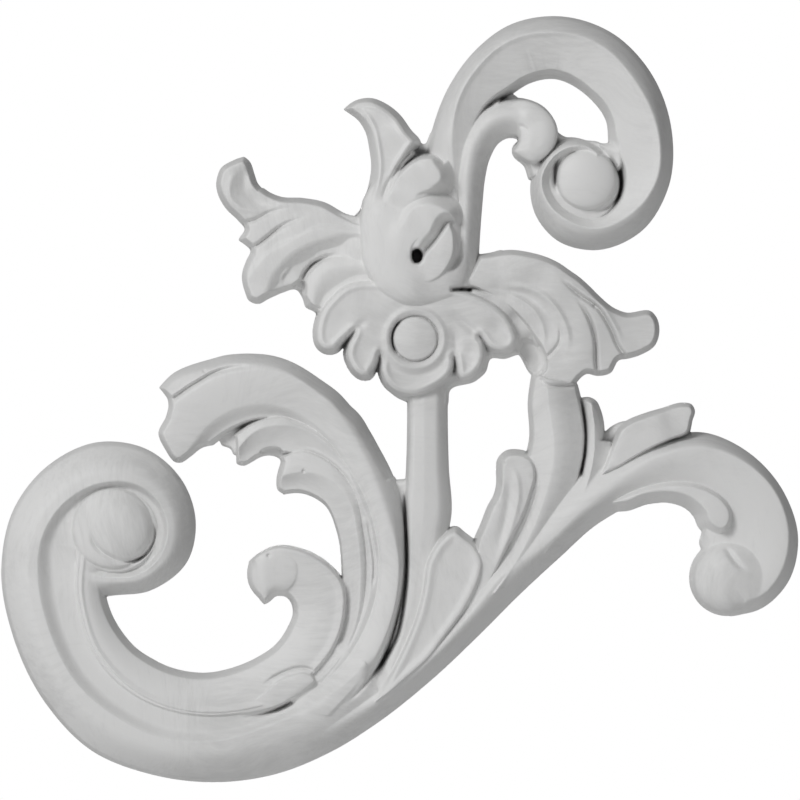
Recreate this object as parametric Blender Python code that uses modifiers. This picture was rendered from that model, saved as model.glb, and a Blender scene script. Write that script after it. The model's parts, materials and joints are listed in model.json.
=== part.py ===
"""A carved scroll onlay: one casting with a flat back, to be glued to a door, mantel or wall.

It stands upright as it hangs: +X to the right, +Z up, its back on the plane y = 0 and its carving
towards -Y. The origin is on the back, behind the button of the rosette.

Every form of the carving is a loft. Its rails are lines on the drawing, from its root to its tip,
and its profile says how high it stands above the back across those rails.
"""

import math

import bmesh
import bpy
import numpy as np

# Driving dimensions, in metres
ONLAY_WIDTH = 0.216         # left side to right side of the whole ornament
ROLL_HEIGHT = 0.0125        # crest of the scrolls' outer rolls above the back
CHANNEL_HEIGHT = 0.0090     # floor of the channel inside the left scroll
RIM_HEIGHT = 0.0100         # raised inner rim of that channel
EYE_HEIGHT = 0.0142         # top of the button at the middle of a volute
LIMB_HEIGHT = 0.0115        # crest of the diagonal limb
LEAF_HEIGHT = 0.0122        # crest of the large acanthus leaves
LOBE_HEIGHT = 0.0104        # crest of the small leaf lobes
STEM_HEIGHT = 0.0086        # face of the flower's stem
PETAL_HEIGHT = 0.0122       # raised rim of the rosette's petals
DISH_HEIGHT = 0.0086        # hollow of the rosette, inside the petals
COLLAR_HEIGHT = 0.0105      # soft collar round the rosette's button
BUTTON_HEIGHT = 0.0140      # top of the rosette's button
CALYX_HEIGHT = 0.0160       # belly of the calyx above the rosette
CURL_HEIGHT = 0.0185        # curled lobes on the calyx, the highest point
WEB_HEIGHT = 0.0030         # low sheets that tie neighbouring leaves together

# How the walls and the mesh are made
WALL_LEAN = 0.25            # how far a wall leans for each unit of its height
DEEP_LEAN = 0.30            # the same on the larger limbs, whose walls lean more
STEEP_LEAN = 0.10           # the same on the rosette's button, which stands nearly straight
STATION_STEP = 0.0062       # longest facet along a form
COLUMN_STEP = 0.0040        # longest facet across a form
BACK_ALLOWANCE = 0.0006     # what the forms reach behind the back before it is cut flat
ALLOWANCE_STEP = 0.00001    # how much further each form reaches than the one before
BACK_BLOCK = 0.010          # thickness of the block that cuts the back flat
MOST_LEAN = 0.45            # a wall leans over no more of a form's face than this
MOST_COLUMNS = 3            # facets across a rounded span
DOME_RINGS = 5              # points on the rounded top of a boss
FEWEST_DOME_SIDES = 12      # facets round the smallest boss
MERGE_DISTANCE = 0.00001    # a boss's points on its axis are joined into one
SHARP_ANGLE = math.radians(40)  # facets that meet at less than this are shaded as one surface

# The drawing: squares counted from its top left corner
DRAWING_WIDTH = 797.5
BUTTON_CENTRE = (415, 339)
SQUARE = ONLAY_WIDTH / DRAWING_WIDTH

RESIN_COLOUR = (0.62, 0.62, 0.61, 1)
RESIN_ROUGHNESS = 0.55

FORMS = []


def between(rail, other, shares):
    """A rail part of the way from one rail to another, by one share or by a share for each point."""
    if isinstance(shares, float):
        shares = [shares] * len(rail)
    return [(x + (u - x) * share, y + (v - y) * share)
            for (x, y), (u, v), share in zip(rail, other, shares)]


def form(name, rails, profile, rise=(1,), lean=WALL_LEAN, ends=(True, True)):
    """One loft. The profile's entries are place across the rails, height, and the shape up to there.

    rise scales the heights along the form, and ends says which of its ends has a leaning wall.
    """
    FORMS.append(dict(name=name, rails=rails, profile=profile, rise=rise, lean=lean, ends=ends))


def dome(name, centre, radius, rim, top, lean=WALL_LEAN):
    """A turned boss: a leaning wall up to its rim, and a rounded top."""
    FORMS.append(dict(name=name, centre=centre, radius=radius, rim=rim, top=top, lean=lean))


# Left scroll: its outer roll, the channel with its rim, and the volute
outer = [(107, 596), (150, 591), (187, 562), (195, 522), (184, 484), (146, 450), (98, 442), (48, 464),
         (14, 507), (1, 572), (12, 636), (45, 704), (92, 753), (150, 776), (215, 783), (275, 774),
         (332, 752), (388, 716)]
edge = [(107, 571), (135, 575), (160, 555), (169, 528), (163, 505), (140, 486), (100, 484), (64, 505),
        (43, 540), (41, 585), (51, 628), (80, 684), (120, 716), (165, 736), (215, 738), (270, 723),
        (322, 698), (366, 662)]
crest = between(outer, edge, [0.85, 0.85, 0.85, 0.8, 0.7, 0.6, 0.55, 0.55, 0.55, 0.55, 0.55, 0.55,
                              0.55, 0.5, 0.5, 0.5, 0.5, 0.5])
floor = [(110, 556), (130, 561), (149, 552), (156, 532), (151, 514), (132, 497), (105, 494), (79, 513),
         (70, 545), (72, 590), (81, 630), (104, 673), (136, 700), (172, 713), (215, 718), (255, 714),
         (300, 692), (345, 650)]
form("left_roll", [outer, crest, edge, between(edge, floor, 1.3)],
     [(0, 0.4 * ROLL_HEIGHT, ""), (1, 0.88 * ROLL_HEIGHT, "swell"), (2, ROLL_HEIGHT, "line"),
      (2.4, CHANNEL_HEIGHT, "line"), (3, 0.95 * CHANNEL_HEIGHT, "line")],
     rise=(0.85, 1, 1, 1, 1, 1, 0.95), ends=(True, False))
form("left_rim",
     [[(66, 540), (72, 590), (83, 638), (104, 673), (140, 702), (185, 716), (235, 717), (285, 700)],
      [(112, 560), (106, 600), (121, 631), (146, 655), (184, 671), (225, 670), (262, 654), (300, 630)]],
     [(0, 0.9 * CHANNEL_HEIGHT, ""), (0.16, RIM_HEIGHT, "line"), (1, 0.83 * RIM_HEIGHT, "line")],
     ends=(False, False))
dome("left_coil_foot", (113, 529), 48, WEB_HEIGHT, WEB_HEIGHT)
dome("left_coil", (113, 529), 42, 0.63 * EYE_HEIGHT, 0.92 * EYE_HEIGHT)
dome("left_eye", (121, 527), 31, 0.63 * EYE_HEIGHT, EYE_HEIGHT)

# The hook that curls up inside the left scroll, and the lip at its root
hook_outer = [(295, 712), (332, 660), (347, 622), (345, 592), (327, 562), (300, 548), (272, 547), (250, 560)]
hook_inner = [(232, 690), (266, 652), (288, 632), (293, 612), (290, 601), (283, 594), (275, 592), (260, 598)]
form("hook", [hook_outer, between(hook_outer, hook_inner, 0.35), hook_inner],
     [(0, 0.58 * LOBE_HEIGHT, ""), (1, LOBE_HEIGHT, "swell"), (2, 0.72 * LOBE_HEIGHT, "swell")],
     rise=(0.85, 1, 1, 1, 0.95), lean=DEEP_LEAN, ends=(False, True))
dome("hook_tip", (270, 576), 23, 0.58 * LOBE_HEIGHT, LOBE_HEIGHT, lean=DEEP_LEAN)
form("lip",
     [[(215, 706), (255, 688), (283, 672), (305, 667)], [(222, 719), (262, 714), (297, 699), (319, 680)]],
     [(0, 0.9 * LIMB_HEIGHT, ""), (0.6, LIMB_HEIGHT, "swell"), (1, 0.9 * LIMB_HEIGHT, "swell")],
     rise=(0.7, 0.86, 1, 0.96))

# The large leaf that bends over the left scroll, and its lobes
leaf_outer = [(166, 402), (185, 388), (212, 373), (248, 356), (295, 361), (340, 392), (376, 441), (401, 495),
              (406, 560), (398, 615), (380, 665), (345, 720)]
leaf_crest = [(154, 435), (176, 418), (205, 396), (248, 380), (292, 385), (332, 414), (362, 460), (385, 510),
              (392, 560), (386, 610), (366, 655), (328, 710)]
leaf_inner = [(180, 466), (196, 446), (214, 416), (246, 404), (285, 406), (324, 430), (352, 468), (373, 510),
              (382, 555), (379, 595), (362, 640), (310, 700)]
form("big_leaf", [leaf_outer, leaf_crest, leaf_inner],
     [(0, 0.53 * LEAF_HEIGHT, ""), (1, LEAF_HEIGHT, "swell"), (2, 0.82 * LEAF_HEIGHT, "swell")],
     rise=(0.85, 0.95, 1, 1, 1), ends=(True, False))
form("big_leaf_strip",
     [[(156, 387), (190, 365), (222, 356), (255, 353), (290, 361)],
      [(170, 402), (195, 386), (222, 371), (252, 366), (285, 370)]],
     [(0, 0.53 * LEAF_HEIGHT, ""), (0.5, 0.7 * LEAF_HEIGHT, "swell"), (1, 0.65 * LEAF_HEIGHT, "swell")])
form("big_leaf_underside",
     [[(193, 432), (225, 402), (275, 398), (320, 420), (355, 465)],
      [(200, 449), (232, 450), (275, 440), (310, 450), (345, 490)]],
     [(0, 0.86 * LOBE_HEIGHT, ""), (1, 0.53 * LOBE_HEIGHT, "line")])
form("middle_lobe",
     [[(231, 436), (250, 422), (280, 414), (312, 424), (345, 450), (372, 487), (388, 535), (390, 590)],
      [(238, 452), (257, 431), (283, 425), (310, 433), (334, 454), (353, 484), (366, 527), (374, 585)],
      [(238, 469), (262, 458), (282, 450), (304, 452), (328, 467), (346, 492), (358, 532), (366, 580)]],
     [(0, 0.8 * LOBE_HEIGHT, ""), (1, LOBE_HEIGHT, "line"), (2, 0.58 * LOBE_HEIGHT, "scoop")],
     ends=(True, False))
form("inner_lobe",
     [[(278, 458), (300, 448), (332, 458), (362, 488), (378, 530), (384, 580), (380, 625), (362, 668),
       (325, 710)],
      [(277, 478), (302, 473), (328, 479), (349, 500), (361, 535), (367, 580), (365, 620), (348, 660),
       (315, 702)],
      [(278, 496), (303, 495), (327, 508), (338, 535), (342, 572), (346, 603), (342, 632), (330, 656),
       (300, 690)]],
     [(0, 0.77 * LOBE_HEIGHT, ""), (1, 0.97 * LOBE_HEIGHT, "line"), (2, 0.58 * LOBE_HEIGHT, "scoop")],
     ends=(True, False))
form("hook_web", [[(334, 580), (338, 620)], [(352, 580), (352, 620)]],
     [(0, WEB_HEIGHT, ""), (1, WEB_HEIGHT, "line")])
form("big_leaf_web",
     [[(218, 425), (262, 430), (300, 440), (345, 475)], [(226, 452), (262, 460), (285, 472), (330, 500)]],
     [(0, WEB_HEIGHT, ""), (1, WEB_HEIGHT, "line")])

# The flower's stem and the tongue at its foot
form("stem",
     [[(408, 380), (407, 460), (404, 500), (402, 560), (398, 610), (380, 660)],
      [(447, 380), (449, 460), (451, 515), (436, 560), (424, 605), (404, 665)]],
     [(0, 0.75 * STEM_HEIGHT, ""), (0.3, STEM_HEIGHT, "swell"), (0.65, STEM_HEIGHT, "line"),
      (1, 0.64 * STEM_HEIGHT, "swell")], ends=(False, False))
form("leaf_gap_floor",
     [[(394, 482), (398, 520), (396, 580), (376, 650), (330, 705)],
      [(412, 482), (412, 520), (412, 580), (400, 655), (360, 715)]],
     [(0, WEB_HEIGHT, ""), (1, WEB_HEIGHT, "line")], ends=(False, False))
form("tongue",
     [[(444, 532), (431, 550), (423, 580), (414, 612), (396, 655), (362, 696)],
      [(458, 526), (480, 544), (484, 578), (467, 612), (436, 655), (395, 695)]],
     [(0, 0.75 * LIMB_HEIGHT, ""), (0.14, LIMB_HEIGHT, "swell"), (0.5, 0.72 * LIMB_HEIGHT, "scoop"),
      (0.82, LIMB_HEIGHT, "scoop"), (1, 0.75 * LIMB_HEIGHT, "swell")], rise=(0.87, 0.96, 1, 1, 0.96))

# The diagonal limb, its volute on the right, and the short curl under it
limb_upper = [(285, 712), (340, 692), (395, 662), (447, 615), (478, 575), (515, 520), (560, 480), (610, 455),
              (652, 443), (700, 433), (750, 453), (786, 495), (798.5, 540), (788, 583), (760, 610), (732, 616)]
limb_crest = [(288, 738), (355, 712), (418, 674), (468, 622), (505, 578), (545, 545), (585, 510), (628, 478),
              (660, 456), (705, 448), (742, 462), (771, 490), (784, 530), (778, 568), (760, 590), (738, 600)]
limb_lower = [(292, 768), (360, 735), (430, 682), (480, 635), (520, 595), (560, 558), (600, 523), (638, 505),
              (672, 501), (694, 511), (701, 530), (700, 545), (705, 550), (715, 555), (716, 562), (714, 570)]
form("limb", [limb_upper, limb_crest, limb_lower],
     [(0, 0.52 * LIMB_HEIGHT, ""), (1, LIMB_HEIGHT, "swell"), (2, 0.6 * LIMB_HEIGHT, "swell")],
     rise=(0.85, 1, 1, 1, 1, 1), lean=DEEP_LEAN, ends=(False, True))
form("curl",
     [[(595, 497), (640, 481), (690, 476), (724, 490), (739, 516)],
      [(605, 520), (645, 503), (680, 503), (697, 518), (708, 533)]],
     [(0, 0.72 * LOBE_HEIGHT, ""), (0.5, LOBE_HEIGHT, "swell"), (1, 0.72 * LOBE_HEIGHT, "swell")],
     rise=(0.78, 0.95, 1, 1, 0.92))
dome("right_ball", (728, 577), 38, 0.55 * EYE_HEIGHT, 0.9 * EYE_HEIGHT)

# The leaves that stand on the diagonal limb
form("short_leaf",
     [[(425, 660), (462, 604), (476, 545), (487, 505), (495, 474), (499, 455), (508, 448)],
      [(442, 650), (486, 590), (506, 545), (515, 510), (518, 485), (514, 463), (517, 450)],
      [(452, 642), (500, 586), (522, 545), (533, 512), (541, 480), (540, 462), (530, 446)]],
     [(0, 0.67 * LOBE_HEIGHT, ""), (1, LOBE_HEIGHT, "line"), (2, 0.77 * LOBE_HEIGHT, "scoop")],
     rise=(1, 1, 1, 0.95, 0.9), ends=(False, True))
form("upright_leaf",
     [[(484, 602), (512, 560), (530, 525), (533, 490), (530, 440), (528, 400), (534, 366)],
      [(494, 592), (518, 553), (537, 512), (551, 472), (554, 440), (548, 405), (550, 368)],
      [(512, 582), (542, 545), (566, 510), (582, 475), (586, 440), (581, 405), (576, 372)]],
     [(0, 0.61 * LEAF_HEIGHT, ""), (1, 0.98 * LEAF_HEIGHT, "line"), (2, 0.61 * LEAF_HEIGHT, "swell")],
     ends=(False, False))
form("sliver_leaf",
     [[(535, 560), (562, 520), (577, 488), (584, 465), (586, 430), (582, 402), (588, 394)],
      [(545, 552), (571, 515), (587, 482), (593, 455), (594, 430), (591, 406), (592, 396)],
      [(562, 545), (592, 505), (608, 475), (615, 450), (607, 425), (602, 405), (597, 396)]],
     [(0, 0.72 * LOBE_HEIGHT, ""), (1, LOBE_HEIGHT, "line"), (2, 0.58 * LOBE_HEIGHT, "line")],
     ends=(False, True))
form("right_leaf",
     [[(560, 515), (590, 465), (612, 428), (645, 413), (682, 403), (694, 405)],
      [(575, 518), (601, 474), (624, 443), (655, 430), (683, 421), (695, 413)],
      [(590, 520), (612, 482), (635, 460), (665, 447), (688, 436), (693, 424)]],
     [(0, 0.67 * LOBE_HEIGHT, ""), (1, 0.96 * LOBE_HEIGHT, "swell"), (2, 0.77 * LOBE_HEIGHT, "swell")],
     rise=(0.9, 1, 1, 0.9, 0.75), ends=(False, True))
form("right_web",
     [[(580, 392), (604, 424), (640, 440), (684, 434)], [(578, 420), (600, 450), (640, 455), (706, 445)]],
     [(0, WEB_HEIGHT, ""), (1, WEB_HEIGHT, "line")])
form("upright_web", [[(545, 380), (548, 430), (535, 490)], [(592, 402), (602, 430), (590, 480)]],
     [(0, WEB_HEIGHT, ""), (1, WEB_HEIGHT, "line")])

# The rosette: dished petals round a collar and a button
PETAL_PROFILE = [(0, 0.86 * PETAL_HEIGHT, ""), (0.12, PETAL_HEIGHT, "swell"),
                 (0.5, 0.8 * PETAL_HEIGHT, "scoop"), (0.88, PETAL_HEIGHT, "scoop"),
                 (1, 0.86 * PETAL_HEIGHT, "swell")]


def petal(name, left, right):
    """One petal, low at its root in the dish and full height at its rounded tip."""
    form(name, [left, right], PETAL_PROFILE, rise=(0.75, 0.82, 0.92, 1, 1, 0.95), ends=(False, True))


petal("petal_left", [(400, 305), (376, 285), (348, 286), (328, 299), (317, 318), (314, 334)],
      [(395, 335), (375, 334), (354, 335), (343, 347), (333, 354), (321, 353)])
petal("petal_lower_left", [(385, 325), (366, 328), (352, 335), (345, 350), (348, 366), (357, 378)],
      [(395, 345), (387, 350), (380, 356), (378, 366), (376, 378), (368, 383)])
petal("petal_bottom", [(392, 345), (384, 352), (379, 364), (382, 379), (392, 393), (406, 400)],
      [(440, 345), (449, 352), (455, 364), (452, 380), (438, 393), (422, 400)])
petal("petal_lower_right", [(440, 340), (450, 350), (455, 362), (456, 376), (462, 387)],
      [(455, 330), (470, 333), (484, 342), (487, 360), (478, 379)])
petal("petal_right", [(440, 300), (464, 290), (487, 297), (507, 314), (520, 338)],
      [(450, 340), (470, 336), (485, 346), (495, 358), (514, 358)])
dome("rosette_dish", (415, 335), 62, 0.98 * DISH_HEIGHT, DISH_HEIGHT)
dome("rosette_collar", BUTTON_CENTRE, 30, 0.97 * COLLAR_HEIGHT, COLLAR_HEIGHT)
dome("rosette_button", BUTTON_CENTRE, 22, 0.86 * BUTTON_HEIGHT, BUTTON_HEIGHT, lean=STEEP_LEAN)
form("rosette_web",
     [[(392, 375), (410, 385), (450, 375), (490, 340), (535, 335)],
      [(393, 394), (408, 401), (446, 399), (474, 372), (530, 360)]],
     [(0, WEB_HEIGHT, ""), (1, WEB_HEIGHT, "line")])

# The calyx: its tall leaf and belly in one sweep, and three curled lobes
form("calyx",
     [[(343, 108), (359, 121), (371, 152), (367, 190), (356, 220), (359, 247), (368, 276), (388, 298), (410, 305)],
      [(351, 101), (380, 122), (396, 160), (392, 195), (388, 222), (393, 248), (402, 270), (411, 284), (417, 294)],
      [(358, 98), (394, 107), (412, 140), (432, 170), (460, 205), (474, 245), (472, 272), (454, 295), (424, 305)]],
     [(0, 0.65 * CALYX_HEIGHT, ""), (1, CALYX_HEIGHT, "swell"), (2, 0.62 * CALYX_HEIGHT, "swell")],
     rise=(0.65, 0.77, 0.85, 0.93, 1, 1, 0.95, 0.85))
form("calyx_lobe_upper",
     [[(378, 210), (384, 186), (400, 164), (424, 151), (444, 157)],
      [(398, 214), (402, 192), (415, 176), (432, 165), (446, 168)],
      [(425, 210), (440, 197), (453, 186), (456, 176), (453, 166)]],
     [(0, 0.72 * CURL_HEIGHT, ""), (1, 0.97 * CURL_HEIGHT, "swell"), (2, 0.65 * CURL_HEIGHT, "swell")],
     rise=(0.85, 0.95, 1, 0.97, 0.9))
form("calyx_lobe_middle",
     [[(392, 232), (408, 206), (430, 193), (454, 198)],
      [(400, 250), (416, 226), (434, 209), (455, 206)],
      [(408, 266), (424, 244), (446, 226), (462, 214)]],
     [(0, 0.76 * CURL_HEIGHT, ""), (1, CURL_HEIGHT, "swell"), (2, 0.76 * CURL_HEIGHT, "swell")],
     rise=(0.85, 0.97, 1, 0.93))
form("calyx_lobe_lower",
     [[(420, 262), (438, 240), (452, 226), (462, 230)],
      [(430, 272), (444, 254), (456, 240), (465, 240)],
      [(442, 284), (456, 270), (463, 254), (468, 248)]],
     [(0, 0.72 * CURL_HEIGHT, ""), (1, 0.95 * CURL_HEIGHT, "swell"), (2, 0.65 * CURL_HEIGHT, "swell")],
     rise=(0.85, 0.97, 1, 0.93))

# The leaf left of the flower
form("left_leaf_top",
     [[(240, 153), (251, 165), (257, 182), (270, 192), (303, 197), (345, 211), (370, 232)],
      [(228, 165), (236, 180), (248, 196), (275, 203), (303, 208), (340, 225), (366, 247)],
      [(214, 178), (217, 197), (230, 214), (250, 224), (285, 224), (325, 240), (365, 264)]],
     [(0, 0.57 * LEAF_HEIGHT, ""), (1, 0.9 * LEAF_HEIGHT, "swell"), (2, 0.66 * LEAF_HEIGHT, "scoop")],
     ends=(True, False))
form("left_leaf_tongue",
     [[(240, 233), (253, 220), (275, 210), (300, 206), (325, 215)],
      [(246, 252), (266, 243), (285, 229), (305, 219), (325, 228)]],
     [(0, 0.77 * LOBE_HEIGHT, ""), (0.5, LOBE_HEIGHT, "swell"), (1, 0.8 * LOBE_HEIGHT, "swell")])
form("left_leaf_low",
     [[(245, 248), (262, 240), (290, 225), (330, 222), (370, 240)],
      [(239, 275), (264, 255), (292, 240), (325, 236), (368, 257)],
      [(250, 306), (272, 294), (300, 272), (332, 258), (368, 278)]],
     [(0, 0.7 * LEAF_HEIGHT, ""), (1, 0.95 * LEAF_HEIGHT, "swell"), (2, 0.7 * LEAF_HEIGHT, "swell")],
     rise=(0.9, 1, 1, 1), ends=(True, False))
form("left_leaf_end",
     [[(300, 283), (308, 268), (335, 252), (378, 250)],
      [(302, 300), (314, 281), (338, 267), (378, 266)],
      [(316, 320), (330, 303), (352, 290), (384, 290)]],
     [(0, 0.66 * LEAF_HEIGHT, ""), (1, 0.95 * LEAF_HEIGHT, "swell"), (2, 0.7 * LEAF_HEIGHT, "swell")],
     ends=(True, False))
form("left_leaf_web", [[(275, 282), (290, 268), (330, 250)], [(278, 297), (298, 292), (340, 285)]],
     [(0, WEB_HEIGHT, ""), (1, WEB_HEIGHT, "line")])

# The leaf right of the flower
groove_upper = [(462, 285), (500, 275), (535, 272), (562, 281), (595, 307), (612, 334), (627, 361)]
form("right_leaf_top",
     [[(462, 266), (495, 251), (530, 251), (565, 266), (600, 296), (628, 312), (658, 313)],
      [(462, 275), (500, 262), (532, 261), (562, 272), (596, 300), (620, 322), (663, 338)], groove_upper],
     [(0, 0.66 * LEAF_HEIGHT, ""), (1, 0.98 * LEAF_HEIGHT, "swell"), (2, 0.74 * LEAF_HEIGHT, "swell")],
     ends=(False, True))
form("right_leaf_finger",
     [[(520, 272), (562, 281), (595, 307), (613, 334), (624, 358)],
      [(515, 285), (550, 290), (579, 304), (592, 330), (598, 376)]],
     [(0, 0.66 * LEAF_HEIGHT, ""), (0.5, 0.92 * LEAF_HEIGHT, "swell"), (1, 0.7 * LEAF_HEIGHT, "swell")],
     ends=(False, True))
form("right_leaf_body",
     [[(462, 278), (510, 279), (550, 288), (578, 303), (592, 326), (598, 352), (590, 388)],
      [(462, 288), (507, 288), (540, 300), (562, 322), (569, 345), (570, 365), (566, 394)],
      [(456, 302), (492, 304), (515, 320), (530, 342), (536, 358), (537, 372), (542, 390)]],
     [(0, 0.7 * LEAF_HEIGHT, ""), (1, 0.95 * LEAF_HEIGHT, "swell"), (2, 0.6 * LEAF_HEIGHT, "swell")],
     ends=(False, True))
form("right_leaf_web",
     [[(440, 262), (480, 262), (530, 262), (570, 280), (602, 308), (624, 345)],
      [(440, 300), (470, 305), (512, 335), (540, 362), (575, 375), (600, 370)]],
     [(0, WEB_HEIGHT, ""), (1, WEB_HEIGHT, "line")])

# The hook scroll on top, its volute, and the branch inside it
top_outer = [(429, 155), (437, 110), (460, 64), (503, 26), (560, 15.5), (611, 30), (651, 70), (671, 125),
             (669, 185), (641, 232), (596, 250), (556, 239), (533, 208), (530, 180), (542, 152), (566, 136),
             (592, 142), (612, 160)]
top_edge = [(455, 160), (455, 118), (472, 78), (508, 43), (554, 34), (598, 47), (632, 82), (655, 130),
            (654, 182), (630, 216), (596, 229), (567, 220), (547, 198), (543, 178), (553, 158), (571, 146),
            (590, 148), (606, 162)]
top_inner = [(474, 165), (484, 125), (503, 99), (530, 83), (552, 78), (590, 96), (608, 125), (608, 145),
             (618, 178), (612, 200), (592, 213), (570, 206), (556, 188), (556, 172), (565, 160), (578, 153),
             (592, 155), (602, 164)]
form("top_roll", [top_outer, top_edge, top_inner],
     [(0, 0.4 * ROLL_HEIGHT, ""), (1, 0.97 * ROLL_HEIGHT, "swell"), (2, 0.64 * ROLL_HEIGHT, "scoop")],
     lean=DEEP_LEAN, ends=(False, False))
dome("top_eye_foot", (585, 183), 38, WEB_HEIGHT, WEB_HEIGHT)
dome("top_eye", (587, 181), 32, 0.6 * EYE_HEIGHT, 0.98 * EYE_HEIGHT)
branch_outer = [(466, 288), (464, 240), (457, 170), (464, 128), (488, 103), (518, 97), (548, 112), (557, 136)]
branch_inner = [(478, 288), (479, 240), (484, 180), (492, 152), (506, 141), (516, 142), (520, 148), (517, 158)]
form("branch", [branch_outer, between(branch_outer, branch_inner, 0.4), branch_inner],
     [(0, 0.67 * LOBE_HEIGHT, ""), (1, LOBE_HEIGHT, "swell"), (2, 0.67 * LOBE_HEIGHT, "swell")],
     ends=(False, True))
dome("branch_tip", (534, 137), 24, 0.67 * LOBE_HEIGHT, LOBE_HEIGHT)
form("branch_foot",
     [[(440, 165), (445, 205), (455, 250), (460, 292)], [(484, 150), (483, 200), (480, 240), (474, 290)]],
     [(0, 0.58 * LOBE_HEIGHT, ""), (0.5, 0.9 * LOBE_HEIGHT, "swell"), (1, 0.5 * LOBE_HEIGHT, "swell")],
     ends=(False, False))
form("hook_web_lower", [[(540, 118), (556, 128), (580, 136)], [(516, 170), (545, 165), (570, 155)]],
     [(0, WEB_HEIGHT, ""), (1, WEB_HEIGHT, "line")])
form("hook_web_left", [[(412, 134), (426, 140), (470, 150)], [(410, 160), (432, 165), (470, 180)]],
     [(0, WEB_HEIGHT, ""), (1, WEB_HEIGHT, "line")])
form("hook_web_upper", [[(500, 96), (512, 98), (524, 102)], [(500, 110), (512, 112), (524, 112)]],
     [(0, WEB_HEIGHT, ""), (1, WEB_HEIGHT, "line")])


def on_drawing(x, y, height):
    """The point in space of a place on the drawing, at a height above the back."""
    return ((x - BUTTON_CENTRE[0]) * SQUARE, -height, (BUTTON_CENTRE[1] - y) * SQUARE)


def smooth_line(points, steps):
    """A smooth line through a rail's points, with the given number of facets to each stretch."""
    p = np.array(points, float)
    gap = np.linalg.norm(np.diff(p, axis=0), axis=1)[:, None]
    slope = np.diff(p, axis=0) / gap
    tangent = np.concatenate([slope[:1], slope])
    if len(p) > 2:
        tangent[1:-1] = (slope[:-1] * gap[1:] + slope[1:] * gap[:-1]) / (gap[:-1] + gap[1:])
        tangent[0] = 1.5 * slope[0] - 0.5 * tangent[1]
        tangent[-1] = 1.5 * slope[-1] - 0.5 * tangent[-2]
    line = []
    for i, count in enumerate(steps):
        t = (np.arange(count) / count)[:, None]
        line.append((2 * t ** 3 - 3 * t ** 2 + 1) * p[i] + (3 * t ** 2 - 2 * t ** 3) * p[i + 1]
                    + gap[i] * ((t ** 3 - 2 * t ** 2 + t) * tangent[i] + (t ** 3 - t ** 2) * tangent[i + 1]))
    return np.concatenate(line + [p[-1:]])


def height_between(shape, first, last, t):
    """Height a share t of the way across a span: straight, swelling above that, or scooped below it."""
    rising = last >= first
    if shape == "line":
        share = t
    elif (shape == "swell") == rising:
        share = math.sin(t * math.pi / 2)
    else:
        share = 1 - math.cos(t * math.pi / 2)
    return first + (last - first) * share


def rail_at(rails, place):
    """The line at a place across the rails, such as 0.5 for midway between the first and second."""
    i = min(int(place), len(rails) - 2)
    return rails[i] + (rails[i + 1] - rails[i]) * (place - i)


def pulled_in(line, insets):
    """The line with its two ends drawn along it by the insets, and its middle left where it was."""
    run = np.concatenate([[0], np.cumsum(np.linalg.norm(np.diff(line, axis=0), axis=1))])
    length = run[-1]
    moved = run.copy()
    for from_end, inset in zip((run, length - run), insets):
        reach = min(max(4 * inset, 1), length / 2)
        shift = np.clip(1 - from_end / reach, 0, 1) * inset
        moved = moved + (shift if from_end is run else -shift)
    return np.stack([np.interp(moved, run, line[:, axis]) for axis in (0, 1)], axis=1)


def loft_grids(spec):
    """The top and the foot of a form, each as stations by columns of (x, y, height)."""
    rails = [np.array(rail, float) for rail in spec["rails"]]
    longest = np.max([np.linalg.norm(np.diff(rail, axis=0), axis=1) for rail in rails], axis=0)
    steps = np.maximum(1, np.round(longest * SQUARE / STATION_STEP)).astype(int)
    feet = [smooth_line(rail, steps) for rail in rails]
    along = np.concatenate([[0], np.cumsum(np.repeat(longest / steps, steps))])
    rise = np.interp(along / along[-1], np.linspace(0, 1, len(spec["rise"])), spec["rise"])
    profile = spec["profile"]
    edges = [profile[0][1] * rise, profile[-1][1] * rise]
    end_heights = [(edges[0][-end] + edges[1][-end]) / 2 for end in (0, 1)]
    insets = [spec["lean"] * height / SQUARE * leans for height, leans in zip(end_heights, spec["ends"])]
    lines = [pulled_in(line, insets) for line in feet]
    for side, inside, heights in ((0, 1, edges[0]), (-1, -2, edges[1])):
        way = lines[inside] - lines[side]
        width = np.linalg.norm(way, axis=1) + 1e-9
        inset = np.minimum(spec["lean"] * heights / SQUARE, MOST_LEAN * width)
        lines[side] = lines[side] + way * (inset / width)[:, None]
    top, foot = [], []
    for (start, first, _), (stop, last, shape) in zip(profile, profile[1:]):
        width = np.linalg.norm(rail_at(lines, stop) - rail_at(lines, start), axis=1).max() * SQUARE
        most = 1 if shape == "line" else MOST_COLUMNS
        count = min(most, max(1, round(width / COLUMN_STEP)))
        ends_here = stop == profile[-1][0]
        for column in range(count + ends_here):
            t = column / count
            height = height_between(shape, first, last, t) * rise
            for grid, across, heights in ((top, lines, height), (foot, feet, 0 * height)):
                spot = rail_at(across, start) * (1 - t) + rail_at(across, stop) * t
                grid.append(np.column_stack([spot, heights]))
    return np.array(top).transpose(1, 0, 2), np.array(foot).transpose(1, 0, 2)


def new_object(name, mesh, collection, location=(0, 0, 0)):
    """A mesh as an object of the given collection."""
    thing = bpy.data.objects.new(name, mesh)
    thing.location = location
    collection.objects.link(thing)
    return thing


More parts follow.
